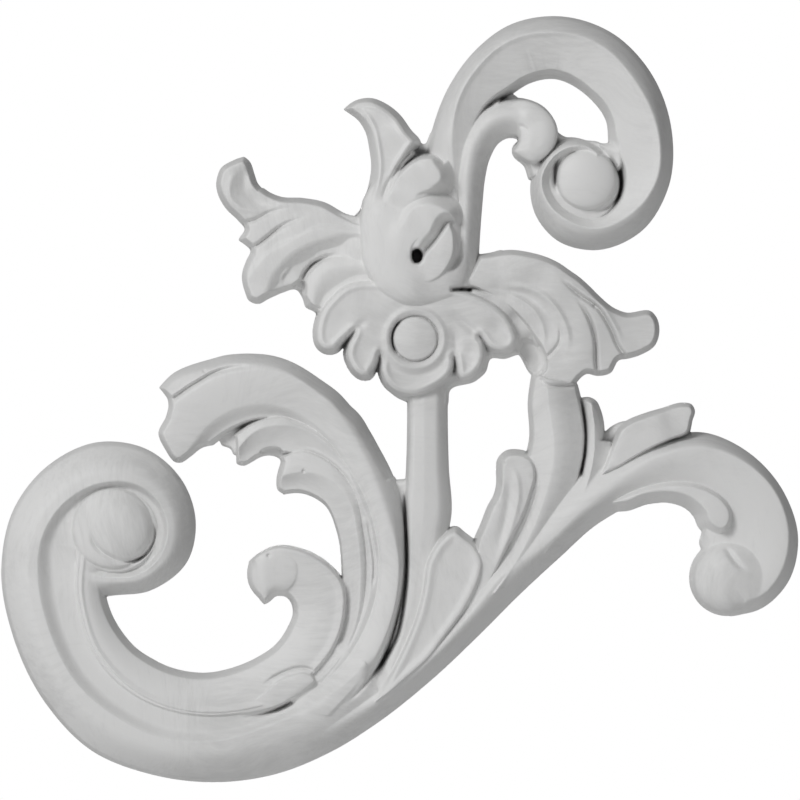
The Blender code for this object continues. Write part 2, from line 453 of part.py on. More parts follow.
def make_loft(spec, reach):
    """A closed loft: its top, its leaning walls, and a floor a little behind the back of the onlay."""
    top, foot = loft_grids(spec)
    stations, columns = top.shape[:2]
    floor_grid = foot + (foot - top) * (reach / top[:, :, 2:])
    model = bmesh.new()
    upper, lower = [[[model.verts.new(on_drawing(*spot)) for spot in row] for row in grid]
                    for grid in (top, floor_grid)]
    for i in range(stations - 1):
        for j in range(columns - 1):
            for grid in (upper, lower):
                model.faces.new((grid[i][j], grid[i + 1][j], grid[i + 1][j + 1], grid[i][j + 1]))
    rim = [(i, 0) for i in range(stations)] + [(stations - 1, j) for j in range(1, columns)]
    rim += [(i, columns - 1) for i in range(stations - 2, -1, -1)] + [(0, j) for j in range(columns - 2, 0, -1)]
    for (i, j), (k, m) in zip(rim, rim[1:] + rim[:1]):
        model.faces.new((upper[i][j], upper[k][m], lower[k][m], lower[i][j]))
    bmesh.ops.recalc_face_normals(model, faces=model.faces)
    mesh = bpy.data.meshes.new(spec["name"])
    model.to_mesh(mesh)
    model.free()
    return new_object(spec["name"], mesh, forms_collection)


def make_dome(spec, reach):
    """A turned boss: its profile runs from the middle of its top down its wall to behind the back."""
    radius = spec["radius"] * SQUARE
    slope = spec["lean"]
    face = radius - slope * spec["rim"]
    profile = [(face * math.sin(turn), spec["rim"] + (spec["top"] - spec["rim"]) * math.cos(turn))
               for turn in np.linspace(0, math.pi / 2, DOME_RINGS)]
    profile += [(radius + slope * reach, -reach), (0, -reach)]
    mesh = bpy.data.meshes.new(spec["name"])
    mesh.from_pydata([(x, 0, z) for x, z in profile], [(i, i + 1) for i in range(len(profile) - 1)], [])
    boss = new_object(spec["name"], mesh, forms_collection, on_drawing(*spec["centre"], 0))
    boss.rotation_euler.x = math.pi / 2
    turn = boss.modifiers.new("turned", "SCREW")
    turn.steps = turn.render_steps = max(FEWEST_DOME_SIDES, round(math.tau * radius / COLUMN_STEP))
    turn.use_merge_vertices = True
    turn.merge_threshold = MERGE_DISTANCE
    return boss


def make_material():
    """White primed resin."""
    resin = bpy.data.materials.new("primed_resin")
    resin.use_nodes = True
    shader = resin.node_tree.nodes["Principled BSDF"]
    shader.inputs["Base Color"].default_value = RESIN_COLOUR
    shader.inputs["Roughness"].default_value = RESIN_ROUGHNESS
    return resin


def shade_round(thing):
    """Shades the facets as round surfaces, and leaves the edges sharper than SHARP_ANGLE crisp."""
    group = bpy.data.node_groups.new("shade_round", "GeometryNodeTree")
    for side in ("INPUT", "OUTPUT"):
        group.interface.new_socket("Mesh", in_out=side, socket_type="NodeSocketGeometry")
    source, result = group.nodes.new("NodeGroupInput"), group.nodes.new("NodeGroupOutput")
    angle = group.nodes.new("GeometryNodeInputMeshEdgeAngle")
    blunt = group.nodes.new("FunctionNodeCompare")
    blunt.operation = "LESS_THAN"
    blunt.inputs[1].default_value = SHARP_ANGLE
    faces, edges = [group.nodes.new("GeometryNodeSetShadeSmooth") for _ in range(2)]
    edges.domain = "EDGE"
    group.links.new(angle.outputs["Unsigned Angle"], blunt.inputs[0])
    group.links.new(source.outputs[0], faces.inputs["Geometry"])
    group.links.new(faces.outputs[0], edges.inputs["Geometry"])
    group.links.new(blunt.outputs[0], edges.inputs["Shade Smooth"])
    group.links.new(edges.outputs[0], result.inputs[0])
    thing.modifiers.new("shade round", "NODES").node_group = group


def hide(helper):
    """Keeps a joined form or a cutter out of the model itself."""
    helper.hide_render = True
    helper.display_type = "WIRE"


for thing in list(bpy.data.objects):
    bpy.data.objects.remove(thing, do_unlink=True)
part_collection = bpy.data.collections.new("scroll_onlay")
forms_collection = bpy.data.collections.new("forms_and_cutters")
for collection in (part_collection, forms_collection):
    bpy.context.scene.collection.children.link(collection)

made = []
for index, spec in enumerate(FORMS):
    reach = BACK_ALLOWANCE + ALLOWANCE_STEP * index
    made.append(make_dome(spec, reach) if "centre" in spec else make_loft(spec, reach))

onlay = made[0]
forms_collection.objects.unlink(onlay)
part_collection.objects.link(onlay)
onlay.name = "scroll_onlay"
onlay.data.materials.append(make_material())
for other in made[1:]:
    joined = onlay.modifiers.new("join " + other.name, "BOOLEAN")
    joined.operation = "UNION"
    joined.solver = "MANIFOLD"  # the exact solver loses the body, because some lofts fold at tight bends
    joined.object = other
    hide(other)

bpy.ops.mesh.primitive_cube_add(size=1, location=(0, BACK_BLOCK / 2, 0))
block = bpy.context.object
block.name = "back_block"
block.scale = (2 * ONLAY_WIDTH, BACK_BLOCK, 2 * ONLAY_WIDTH)
for collection in list(block.users_collection):
    collection.objects.unlink(block)
forms_collection.objects.link(block)
hide(block)
flat = onlay.modifiers.new("flat back", "BOOLEAN")
flat.operation = "DIFFERENCE"
flat.solver = "MANIFOLD"
flat.object = block
shade_round(onlay)
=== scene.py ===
# %% [markdown]
# # A carved scroll onlay
#
# The real object is one casting of white-primed urethane resin: a flat-backed ornament of a C scroll,
# a flower on a stem, acanthus leaves and three volutes, made to be glued to a door or a mantel.
# This lesson carves it as an ornament carver would: rough forms first, joined into one block, then
# soft valleys, creases and tool marks, and last the paint.
#
# The packed CAD model is loaded first, as the fixed frame. Everything is in metres, +X to the right and
# +Z up, with the flat back on the plane y = 0 and the carving facing -Y. The origin is on the back, behind
# the rosette's button.

# %% The frame
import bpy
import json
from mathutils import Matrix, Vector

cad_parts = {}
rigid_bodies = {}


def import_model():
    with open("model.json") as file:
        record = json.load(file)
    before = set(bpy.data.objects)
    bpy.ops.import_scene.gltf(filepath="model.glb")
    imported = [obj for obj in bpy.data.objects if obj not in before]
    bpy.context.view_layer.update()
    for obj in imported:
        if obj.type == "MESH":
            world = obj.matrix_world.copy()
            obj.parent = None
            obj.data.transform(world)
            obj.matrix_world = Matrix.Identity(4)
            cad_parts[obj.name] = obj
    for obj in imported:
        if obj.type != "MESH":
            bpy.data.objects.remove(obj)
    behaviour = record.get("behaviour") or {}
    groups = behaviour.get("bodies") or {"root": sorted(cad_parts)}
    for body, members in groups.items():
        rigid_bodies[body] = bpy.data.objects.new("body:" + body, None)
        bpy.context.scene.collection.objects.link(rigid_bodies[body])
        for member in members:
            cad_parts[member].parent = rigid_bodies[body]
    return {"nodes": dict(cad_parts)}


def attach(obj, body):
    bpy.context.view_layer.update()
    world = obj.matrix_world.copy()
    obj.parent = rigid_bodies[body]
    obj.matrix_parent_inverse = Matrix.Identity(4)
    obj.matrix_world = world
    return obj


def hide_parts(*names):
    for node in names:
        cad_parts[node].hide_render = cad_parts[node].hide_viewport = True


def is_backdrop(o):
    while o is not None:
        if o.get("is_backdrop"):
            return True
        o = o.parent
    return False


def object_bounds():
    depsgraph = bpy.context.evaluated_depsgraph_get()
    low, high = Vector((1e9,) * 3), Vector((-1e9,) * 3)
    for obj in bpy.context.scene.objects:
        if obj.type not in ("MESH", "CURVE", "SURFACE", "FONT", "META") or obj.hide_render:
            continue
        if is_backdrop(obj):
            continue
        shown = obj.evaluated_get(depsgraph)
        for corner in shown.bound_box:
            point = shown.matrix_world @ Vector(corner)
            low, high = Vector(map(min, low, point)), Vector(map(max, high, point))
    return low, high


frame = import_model()
cad_box = [list(corner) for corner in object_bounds()]

import json
import math

import bpy
import numpy as np

print("frame loaded:", sorted(frame["nodes"]))

# %% [markdown]
# ## The drawing
#
# A carver pins a full-size drawing to the block and works from its lines. The ornament is laid out here in
# the same way, on a drawing of small squares counted from its top left corner. A square could have been a
# millimetre, but then every line would need decimals. So one square is a little over a quarter of a
# millimetre, and places are mostly whole numbers.

# %% The drawing
ONLAY_WIDTH = 0.216
DRAWING_WIDTH = 797.5       # squares from the left scroll's edge to the right curl's edge
PICTURE = 800               # squares along each side of the whole drawing
BUTTON_CENTRE = (415, 339)
SQUARE = ONLAY_WIDTH / DRAWING_WIDTH
print(f"one square is {SQUARE * 1000:.3f} mm")

# %% [markdown]
# ## The board
#
# Seen from the front, a carving in relief has one height at every place: nothing hangs over. The real one
# came out of a one-sided mould, so it can't have an overhang either. The forms could be lofted one by one
# with mesh operators and joined with Booleans, and that is how a plain moulding is made. Here dozens of
# forms melt into each other with fillets, soft valleys and creases that run over several of them, which
# Booleans leave as hard seams. So the carving is done on a board of heights, a fine grid over the drawing:
# a form raises it, a groove lowers it, and a fillet is simple sums. Bpy operators take over once the sheet
# is carved, to cut it, thin it and close it.

# %% The board
BEHIND = 0.003              # walls are drawn this far behind the back, so that its plane cuts them cleanly
FINENESS = 1.25             # samples to one square of the drawing
SAMPLES = int(PICTURE * FINENESS)
WHERE = (np.arange(SAMPLES) + 0.5) / FINENESS
relief = np.full((SAMPLES, SAMPLES), -BEHIND)


def carved_area():
    """Square centimetres of the board that stand above the back so far."""
    return (relief > 0).sum() * (SQUARE / FINENESS * 100) ** 2


print(f"board: {SAMPLES} x {SAMPLES} samples, {SQUARE / FINENESS * 1000:.2f} mm apart, {carved_area():.0f} cm2 carved")

# %% [markdown]
# ## Lines
#
# Every form starts from a few points along an edge. Straight stretches between them would show as facets
# in a scroll. A Bezier curve object would be smooth, but its handles need care at each point. This line
# finds its own slopes from the points beside it, passes through every point, and takes even steps.

# %% Smooth lines
FACET = 2.5                 # squares between the points of a smooth line


def smooth_line(points, steps):
    """A smooth line through a rail's points, with the given number of facets to each stretch."""
    p = np.array(points, float)
    gap = np.linalg.norm(np.diff(p, axis=0), axis=1)[:, None]
    slope = np.diff(p, axis=0) / gap
    tangent = np.concatenate([slope[:1], slope])
    if len(p) > 2:
        tangent[1:-1] = (slope[:-1] * gap[1:] + slope[1:] * gap[:-1]) / (gap[:-1] + gap[1:])
        tangent[0] = 1.5 * slope[0] - 0.5 * tangent[1]
        tangent[-1] = 1.5 * slope[-1] - 0.5 * tangent[-2]
    line = []
    for i, count in enumerate(steps):
        t = (np.arange(count) / count)[:, None]
        line.append((2 * t ** 3 - 3 * t ** 2 + 1) * p[i] + (3 * t ** 2 - 2 * t ** 3) * p[i + 1]
                    + gap[i] * ((t ** 3 - 2 * t ** 2 + t) * tangent[i] + (t ** 3 - t ** 2) * tangent[i + 1]))
    return np.concatenate(line + [p[-1:]])


def traced(points, closed=False):
    """A smooth line through traced points, with a point at every facet."""
    points = list(points) + ([points[0]] if closed else [])
    gaps = np.linalg.norm(np.diff(np.array(points, float), axis=0), axis=1)
    return smooth_line(points, np.maximum(1, np.round(gaps / FACET)).astype(int))


print("a line through 3 points, smoothed:", len(traced([(0, 0), (20, 10), (40, 0)])), "points")

# %% [markdown]
# ## Lofts
#
# A scroll's roll or a leaf's back keeps one cross section as it bends, and grows or shrinks on its way. A
# curve with a bevel object could do that, but with the same section on both sides of the line. A loft
# between rails can widen on one side alone: each rail is an edge or a crest of the form, and the profile
# gives the height at each rail and how the surface swells or scoops between them. The outer walls lean
# inwards by the draft, as a casting's must to leave its mould.

# %% Between the rails
def rail_at(rails, place):
    """The line at a place across the rails: 1.5 is halfway from the second rail to the third."""
    i = min(int(place), len(rails) - 2)
    return rails[i] + (rails[i + 1] - rails[i]) * (place - i)


def pulled_in(line, insets):
    """The line with its two ends drawn in along it, so that the walls at the ends lean too."""
    run = np.concatenate([[0], np.cumsum(np.linalg.norm(np.diff(line, axis=0), axis=1))])
    length = run[-1]
    moved = run.copy()
    for from_end, inset in zip((run, length - run), insets):
        reach = min(max(4 * inset, 1), length / 2)
        shift = np.clip(1 - from_end / reach, 0, 1) * inset
        moved = moved + (shift if from_end is run else -shift)
    return np.stack([np.interp(moved, run, line[:, axis]) for axis in (0, 1)], axis=1)


def height_share(shape, rising, t):
    """How much of a rise or fall is done after a share t of the way, by the shape of that stretch."""
    if shape == "line":
        return t
    if shape == "ease":
        return t * t * (3 - 2 * t)
    if (shape == "swell") == rising:
        return math.sin(t * math.pi / 2)
    return 1 - math.cos(t * math.pi / 2)


print("half way up a swell:", round(height_share("swell", True, 0.5), 3))

# %% A loft's points
MOST_LEAN = 0.45            # share of the width that a leaning wall may take


def loft_grids(rails, profile, rise, draft, ends):
    """The points of a loft's top between its walls, and of its foot on the back, as two grids."""
    rails = [np.array(rail, float) for rail in rails]
    longest = np.max([np.linalg.norm(np.diff(rail, axis=0), axis=1) for rail in rails], axis=0)
    steps = np.maximum(1, np.round(longest / FACET)).astype(int)
    feet = [smooth_line(rail, steps) for rail in rails]
    along = np.concatenate([[0], np.cumsum(np.repeat(longest / steps, steps))])
    rise = np.interp(along / along[-1], np.linspace(0, 1, len(rise)), rise)
    edges = [profile[0][1] * rise, profile[-1][1] * rise]
    end_heights = [(edges[0][-end] + edges[1][-end]) / 2 for end in (0, 1)]
    insets = [draft * height / SQUARE * leans for height, leans in zip(end_heights, ends)]
    lines = [pulled_in(line, insets) for line in feet]
    for side, inside, heights in ((0, 1, edges[0]), (-1, -2, edges[1])):
        way = lines[inside] - lines[side]
        width = np.linalg.norm(way, axis=1) + 1e-9
        inset = np.minimum(draft * heights / SQUARE, MOST_LEAN * width)
        lines[side] = lines[side] + way * (inset / width)[:, None]
    top, foot = [], []
    for (start, first, _), (stop, last, shape) in zip(profile, profile[1:]):
        width = np.linalg.norm(rail_at(lines, stop) - rail_at(lines, start), axis=1).max()
        count = max(2, round(width / FACET))
        for column in range(count + (stop == profile[-1][0])):
            t = column / count
            height = (first + (last - first) * height_share(shape, last >= first, t)) * rise
            for grid, across, heights in ((top, lines, height), (foot, feet, 0 * height)):
                spot = rail_at(across, start) * (1 - t) + rail_at(across, stop) * t
                grid.append(np.column_stack([spot, heights]))
    return np.array(top).transpose(1, 0, 2), np.array(foot).transpose(1, 0, 2)


trial, _ = loft_grids([[(0, 0), (40, 0)], [(0, 20), (40, 20)]], [(0, 0.01, ""), (1, 0.01, "line")], (1,), 0.25, (1, 1))
print("a loft 40 squares by 20 has", trial.shape[0], "by", trial.shape[1], "points")

# %% [markdown]
# ## Joined to the block
#
# The loft's sheet of points is laid on the board by filling each of its small panes with samples, and the
# board keeps whichever surface is higher. That is what a union does to two solids that share a flat back.
# Where a carver would leave a little wood in the corner, a fillet is added: it is thickest where both
# surfaces have the same height, and fades as they part.

# %% A sheet on the board
STEEPEST = 6.0              # steepest slope kept where a sheet is laid on the board


def lay(layer, sheet, splits):
    """Lays a sheet of points on a layer and keeps whichever is higher."""
    a, b, c, d = sheet[:-1, :-1], sheet[1:, :-1], sheet[1:, 1:], sheet[:-1, 1:]
    for u in (np.arange(splits[0]) + 0.5) / splits[0]:
        for v in (np.arange(splits[1]) + 0.5) / splits[1]:
            spot = (a * (1 - u) + b * u) * (1 - v) + (d * (1 - u) + c * u) * v
            along = (b - a) * (1 - v) + (c - d) * v
            across = (d - a) * (1 - u) + (c - b) * u
            area = along[..., 0] * across[..., 1] - along[..., 1] * across[..., 0]
            area = np.where(np.abs(area) < 1e-6, 1e-6, area)
            slope_x = (along[..., 2] * across[..., 1] - across[..., 2] * along[..., 1]) / area
            slope_y = (across[..., 2] * along[..., 0] - along[..., 2] * across[..., 0]) / area
            column = np.floor(spot[..., 0] * FINENESS).astype(int)
            row = np.floor(spot[..., 1] * FINENESS).astype(int)
            inside = (column >= 0) & (column < SAMPLES) & (row >= 0) & (row < SAMPLES)
            column, row = column.clip(0, SAMPLES - 1), row.clip(0, SAMPLES - 1)
            limit = STEEPEST * SQUARE
            height = (spot[..., 2] + slope_x.clip(-limit, limit) * (WHERE[column] - spot[..., 0])
                      + slope_y.clip(-limit, limit) * (WHERE[row] - spot[..., 1]))
            np.maximum.at(layer, (row[inside], column[inside]), height[inside])


def fill_pinholes(field):
    """Fills single samples that a sheet missed from their neighbours."""
    around = np.stack([np.roll(field, 1, 0), np.roll(field, -1, 0), np.roll(field, 1, 1), np.roll(field, -1, 1)])
    around.sort(axis=0)
    holes = (field <= -BEHIND) & (around[1] > -BEHIND)
    field[holes] = around[1][holes]


print("a pane's slope is kept up to", STEEPEST, "in 1")

# %% A form and its fillet
WALL_STEPS = 6              # panes from the top of a wall to its foot


def merge(name, new, fillet=0.0):
    """Joins a new form to the relief: the higher of the two, with a fillet where they meet."""
    global relief
    high, low = np.maximum(relief, new), np.minimum(relief, new)
    if fillet:
        near = np.clip(1 - (high - low) / fillet, 0, 1)
        high = high + fillet * near * near / 4 * (low > -BEHIND * 0.99)
    relief = high
    print(f"{name.replace('_', ' ')}: up to {new.max() * 1000:.1f} mm")


def form(name, rails, profile, rise=(1,), draft=0.25, ends=(True, True), fillet=0.0):
    """A loft joined to the relief, with walls that lean by the draft and run on behind the back."""
    layer = np.full((SAMPLES, SAMPLES), -BEHIND)
    top, foot = loft_grids(rails, profile, rise, draft, ends)
    splits = int(math.ceil(FACET * FINENESS * 1.6))
    lay(layer, top, (splits, splits))
    below = foot + (foot - top) * (BEHIND / top[:, :, 2:])
    for edge in (np.s_[:, 0], np.s_[:, -1], np.s_[0], np.s_[-1]):
        wall = np.stack([top[edge] + (below[edge] - top[edge]) * k / WALL_STEPS for k in range(WALL_STEPS + 1)])
        lay(layer, wall, (3, splits))
    fill_pinholes(layer)
    merge(name, layer, fillet)


def dome(name, centre, radius, rim, top, draft=0.25, fillet=0.0, power=2.0):
    """A round button: a leaning wall up to its rim, and a cap from the rim to its top."""
    away = np.hypot(WHERE[None, :] - centre[0], WHERE[:, None] - centre[1])
    face = radius - draft * rim / SQUARE
    share = np.clip(away / face, 0, 1)
    cap = rim + (top - rim) * np.sqrt(1 - share ** power)
    wall = (radius - away) * SQUARE / draft
    merge(name, np.maximum(np.where(away < face, cap, wall), -BEHIND), fillet)


print(f"board before carving: {relief.max() * 1000:.1f} mm")

# %% [markdown]
# ## The left scroll
#
# The largest part is a C scroll. Its outer roll is high and round, a flat channel runs inside it, and both
# wind once round the volute at the end. It could be a spin of a profile, but the scroll isn't round and
# swells towards the foot. So three rails follow the photograph: the outer edge, the inner edge of the roll,
# and the floor of the channel.

# %% The outer roll
ROLL_HEIGHT = 0.0125        # crest of the scrolls' outer rolls
CHANNEL_HEIGHT = 0.0092     # floor of the channel inside the left scroll


def between(rail, other, shares):
    """A rail part of the way from one rail to another, by one share or by a share for each point."""
    if isinstance(shares, float):
        shares = [shares] * len(rail)
    return [(x + (u - x) * share, y + (v - y) * share)
            for (x, y), (u, v), share in zip(rail, other, shares)]


dome("volute_floor", (116, 530), 50, 0.0094, 0.0097)
roll_outer = [(84, 603), (107, 597), (150, 591), (187, 562), (195.5, 522), (184, 484), (146, 449), (98, 442),
    (48, 465), (14, 507), (0.5, 572), (12, 636), (45, 704), (92, 752), (150, 775), (215, 783), (275, 775),
    (332, 752), (388, 716)]
roll_edge = [(82, 570), (108, 576), (138, 574), (160, 556), (168, 529), (160, 503), (138, 485), (100, 484),
    (64, 505), (43, 540), (40.5, 580), (51, 628), (80, 683), (120, 716), (165, 736), (215, 739), (270, 723),
    (322, 698), (366, 662)]
channel_floor = [(88, 555), (110, 561), (130, 563), (150, 553), (156, 531), (150, 512), (132, 496), (105, 493),
    (79, 512), (70, 545), (72, 590), (81, 630), (104, 673), (136, 700), (172, 713), (215, 718), (255, 714),
    (300, 692), (345, 650)]
form("left_roll", [roll_outer, roll_edge, channel_floor, between(channel_floor, roll_outer, -0.2)],
      [(0, 0.40 * ROLL_HEIGHT, ""), (0.80, 0.98 * ROLL_HEIGHT, "swell"), (0.97, ROLL_HEIGHT, "line"),
       (1.06, 0.95 * ROLL_HEIGHT, "ease"), (1.45, CHANNEL_HEIGHT, "scoop"), (2, CHANNEL_HEIGHT, "line"),
       (3, CHANNEL_HEIGHT, "line")],
      rise=(0.78, 0.92, 1, 1, 1, 1, 1, 1, 1), ends=(False, False))

# %% [markdown]
# Inside the channel lies a second band with a raised rim. It leaves the volute, follows the C round, and
# ends in a small hook that curls back. It is one loft again, because on the real casting the band turns
# into the hook without a seam. Its ridge is placed by shares between the two edges, since it wanders
# towards the outer edge on its way.

# %% The band and the hook
RIM_HEIGHT = 0.0102         # raised inner rim of the channel
band_outer = [(72, 536), (71, 560), (71.5, 590), (77, 618), (88, 650), (104, 673), (125, 692), (152, 707),
    (180, 715), (210, 718), (245, 715), (282, 704), (316, 674), (337, 645), (346, 612), (344, 582), (328, 563),
    (302, 549), (276, 546), (249, 562)]
band_inner = [(112, 540), (108, 562), (105, 590), (111, 613), (121, 631), (138, 650), (152, 659), (166, 666),
    (183, 671), (206, 673), (232, 668), (256, 658), (276, 644), (287, 628), (292.5, 612), (290, 602), (284, 596.5),
    (277, 596), (272, 599), (264, 605)]
band_ridge = between(band_outer, band_inner,
    [0.35, 0.35, 0.32, 0.28, 0.25, 0.23, 0.20, 0.18, 0.16, 0.15, 0.14, 0.12, 0.09, 0.07, 0.06, 0.06, 0.06, 0.06,
     0.06, 0.06])
form("band_and_hook", [band_outer, band_ridge, band_inner],
      [(0, 0.94 * RIM_HEIGHT, ""), (0.35, 1.0 * RIM_HEIGHT, "swell"), (0.65, 0.97 * RIM_HEIGHT, "ease"),
       (1.0, 1.04 * RIM_HEIGHT, "ease"), (1.2, 0.98 * RIM_HEIGHT, "ease"), (2, 0.78 * RIM_HEIGHT, "swell")],
      rise=(1, 1, 1, 1, 1, 1, 1.05, 1.1, 1.12), draft=0.2, ends=(False, True), fillet=0.0005)

# %% [markdown]
# ## Plates
#
# Many small parts are flat-topped with a rounded shoulder: the hook's tip, the lip, petals, leaves. A
# polygon with Extrude and Bevel would give a round-over of one width and a flat face. A plate here starts
# from its outline in the same way, but its face is a smooth surface through a few stated heights, its
# shoulder is as wide as wanted, and it can have a raised rim. It needs the distance of every sample from
# the outline, and which side of it the sample is on.

# %% How far from a line
def part_near(line, reach):
    """The rows and columns of the board within reach of a line."""
    low = np.clip(np.floor((line.min(axis=0) - reach) * FINENESS).astype(int), 0, SAMPLES)
    high = np.clip(np.ceil((line.max(axis=0) + reach) * FINENESS).astype(int), 0, SAMPLES)
    return slice(low[1], high[1]), slice(low[0], high[0])


def distances(line, reach):
    """How far each sample near a line is from it, the side it is on, and its place along the line."""
    rows, columns = part_near(line, reach)
    shape = (rows.stop - rows.start, columns.stop - columns.start)
    nearest, side, place = np.full(shape, float(reach)), np.ones(shape), np.zeros(shape)
    run = np.concatenate([[0], np.cumsum(np.linalg.norm(np.diff(line, axis=0), axis=1))])
    for i, (p, q) in enumerate(zip(line, line[1:])):
        r, c = part_near(np.array([p, q]), reach)
        r = slice(max(r.start, rows.start), min(r.stop, rows.stop))
        c = slice(max(c.start, columns.start), min(c.stop, columns.stop))
        spot = (slice(r.start - rows.start, r.stop - rows.start),
                slice(c.start - columns.start, c.stop - columns.start))
        dx, dy = WHERE[None, c] - p[0], WHERE[r, None] - p[1]
        way = q - p
        t = np.clip((dx * way[0] + dy * way[1]) / (way @ way + 1e-9), 0, 1)
        gap = np.hypot(dx - t * way[0], dy - t * way[1])
        closer = gap < nearest[spot]
        nearest[spot] = np.where(closer, gap, nearest[spot])
        side[spot] = np.where(closer, np.sign(way[0] * dy - way[1] * dx), side[spot])
        place[spot] = np.where(closer, (run[i] + t * (run[i + 1] - run[i])) / run[-1], place[spot])
    return (rows, columns), nearest, side, place


_, gaps, _, _ = distances(traced([(100, 100), (140, 100)]), 10)
print(f"samples within 10 squares of a trial line: {(gaps < 10).sum()}")

# %% A plate
def inside_of(line, rows, columns):
    """Which samples of this part of the board are inside a closed line."""
    x, y = WHERE[None, columns], WHERE[rows, None]
    within = np.zeros((y.shape[0], x.shape[1]), bool)
    for p, q in zip(line, line[1:]):
        if p[1] != q[1]:
            crossing = p[0] + (y - p[1]) * (q[0] - p[0]) / (q[1] - p[1])
            within ^= ((y >= min(p[1], q[1])) & (y < max(p[1], q[1]))) & (x < crossing)
    return within


def heights_over(spots, rows, columns):
    """A smooth surface through a few stated heights: (x, y, height), or one height for all."""
    if isinstance(spots, float):
        return spots
    total, weights = 0.0, 0.0
    for x, y, height in spots:
        weight = 1 / ((WHERE[None, columns] - x) ** 2 + (WHERE[rows, None] - y) ** 2 + 30) ** 1.5
        total, weights = total + weight * height, weights + weight
    return total / weights


def plate(name, outline, heights, round_over=8, drop=0.0015, draft=0.25, soft=0.001, rim=None,
          fillet=0.0, base=0.0, skirt=0.0):
    """A leaf or petal by its outline: a leaning wall, a rounded shoulder, and a face at stated heights."""
    line = traced(outline, closed=True)
    reach = max(round_over, 16) + 2
    (rows, columns), gap, _, _ = distances(line, reach)
    depth = np.where(inside_of(line, rows, columns), gap, -gap)
    face = heights_over(heights, rows, columns)
    share = 1 - np.clip(depth / round_over, 0, 1)
    face = face - drop * (1 - np.sqrt(1 - share ** 2))
    if rim:
        lift, at, width = rim
        face = face + lift * np.exp(-((depth - at) / width) ** 2)
    wall = base + depth * SQUARE / draft
    blend = np.clip(0.5 + 0.5 * (face - wall) / soft, 0, 1)
    shape = face * (1 - blend) + wall * blend - soft * blend * (1 - blend)
    if base:
        shape = np.where((depth < 0) & ((wall < skirt) | (depth < 1 - reach)), -BEHIND, shape)
    new = np.full((SAMPLES, SAMPLES), -BEHIND)
    new[rows, columns] = np.maximum(shape, -BEHIND)
    merge(name, new, fillet)


trial = np.array([(10, 10), (20, 10), (20, 20), (10, 20), (10, 10)], float)
print("samples inside a trial square:", int(inside_of(trial, slice(0, 40), slice(0, 40)).sum()))

# %% [markdown]
# The hook ends in a blunt round tip, and a thin lip lies over the foot of the C where the band slips under
# it. The volute's eye is a low button with a smaller one on it, a little off its middle. Buttons are domes:
# a primitive sphere, scaled flat, would be the usual way, but it would meet its ring at a hard edge, and
# the dome takes a fillet.

# %% The hook's tip, the lip and the eye
EYE_HEIGHT = 0.0142         # top of the button at the middle of a volute
plate("hook_tip",
      [(249, 562), (258, 554), (270, 550), (285, 549), (300, 560), (298, 585), (284, 596), (275, 596), (268, 603),
       (264, 604), (258, 598), (252, 591), (248.5, 584), (247, 573)],
      0.0104, round_over=16, drop=0.0020, draft=0.14, fillet=0.003)
plate("lip",
      [(303, 667), (315, 671), (320, 679), (309, 692), (297, 700), (280, 709), (262, 714), (240, 718), (222, 718),
       (240, 706), (262, 688), (275, 677), (288, 671)],
      [(310, 678, 0.0118), (280, 695, 0.0114), (250, 709, 0.0100), (228, 715, 0.0088)], round_over=5, drop=0.0008,
      draft=0.12)
dome("left_coil", (113, 528), 42, 0.70 * EYE_HEIGHT, 0.92 * EYE_HEIGHT, draft=0.06, fillet=0.0008, power=2.2)
dome("left_eye", (121, 527), 34, 0.70 * EYE_HEIGHT, EYE_HEIGHT, draft=0.12, fillet=0.0020, power=2.0)

# %% [markdown]
# ## Grooves
#
# A carver closes a form with a V tool: a thin line beside the eye, a crack under the lip. In a mesh this
# could be an edge loop pushed in, which needs edges that run the same way. On the board a groove is a
# line, a width and a depth, and it fades out at its ends as a tool does when it is lifted. A negative
# depth leaves a fine ridge instead.

# %% A groove
SKIN = 0.0005               # less than this above the back is no surface, and isn't touched by tools
LEAST = 0.0015              # what is always left under a groove


def taper(place, fade):
    """One along a line, fading to nothing over a share of its length at each end."""
    start, stop = fade
    value = np.ones_like(place)
    if start:
        value = value * np.clip(place / start, 0, 1)
    if stop:
        value = value * np.clip((1 - place) / stop, 0, 1)
    return value * value * (3 - 2 * value)


def groove(points, width, depth, fade=(0.3, 0.3)):
    """Cuts a groove along a line, or with a negative depth lays a ridge on it."""
    line = traced(points)
    (rows, columns), gap, _, place = distances(line, 3 * width)
    scooped = depth * taper(place, fade) * np.exp(-(gap / width) ** 2)
    here = relief[rows, columns]
    if depth > 0:
        relief[rows, columns] = np.where(here > LEAST, np.maximum(here - scooped, LEAST), here)
    else:
        relief[rows, columns] = np.where(here > SKIN, here - scooped, here)


print("a groove fades in:", taper(np.array([0, 0.1, 0.2, 0.3]), (0.3, 0.3)).round(2))

# %% Lines on the left scroll
groove([(91, 530), (94, 540), (100, 549), (108, 555), (119, 560), (130, 561), (141, 557.5), (149, 551)], 2.2,
      0.0011, fade=(0.25, 0.2))
groove([(122, 561.5), (134, 560.5), (144, 556), (151, 548), (155, 538), (155.5, 529), (153, 520)], 1.3, 0.0026,
      fade=(0.25, 0.25))
groove([(320, 680), (308, 692), (300, 697), (290, 703), (280, 708), (265, 713), (250, 716), (238, 718)], 1.6,
      0.0034, fade=(0.05, 0.5))
groove([(316, 671), (303, 667), (285, 671), (275, 676), (262, 685)], 1.4, 0.0012, fade=(0.1, 0.3))
print(f"left scroll: up to {relief.max() * 1000:.1f} mm")

# %% [markdown]
# ## The large leaf
#
# A broad acanthus leaf grows from the foot of the scroll and bends over the C. It has a face that rolls
# to a crest, an underside, and two smaller lobes in front of each other. The lobes overlap, so each is its
# own loft over the last one. They are carved as a group on a clean board, because the leaf's end is then
# sawn to its ragged outline without touching what is already there. A fold lifts the surface on one side
# of a line, as a leaf's edge does.

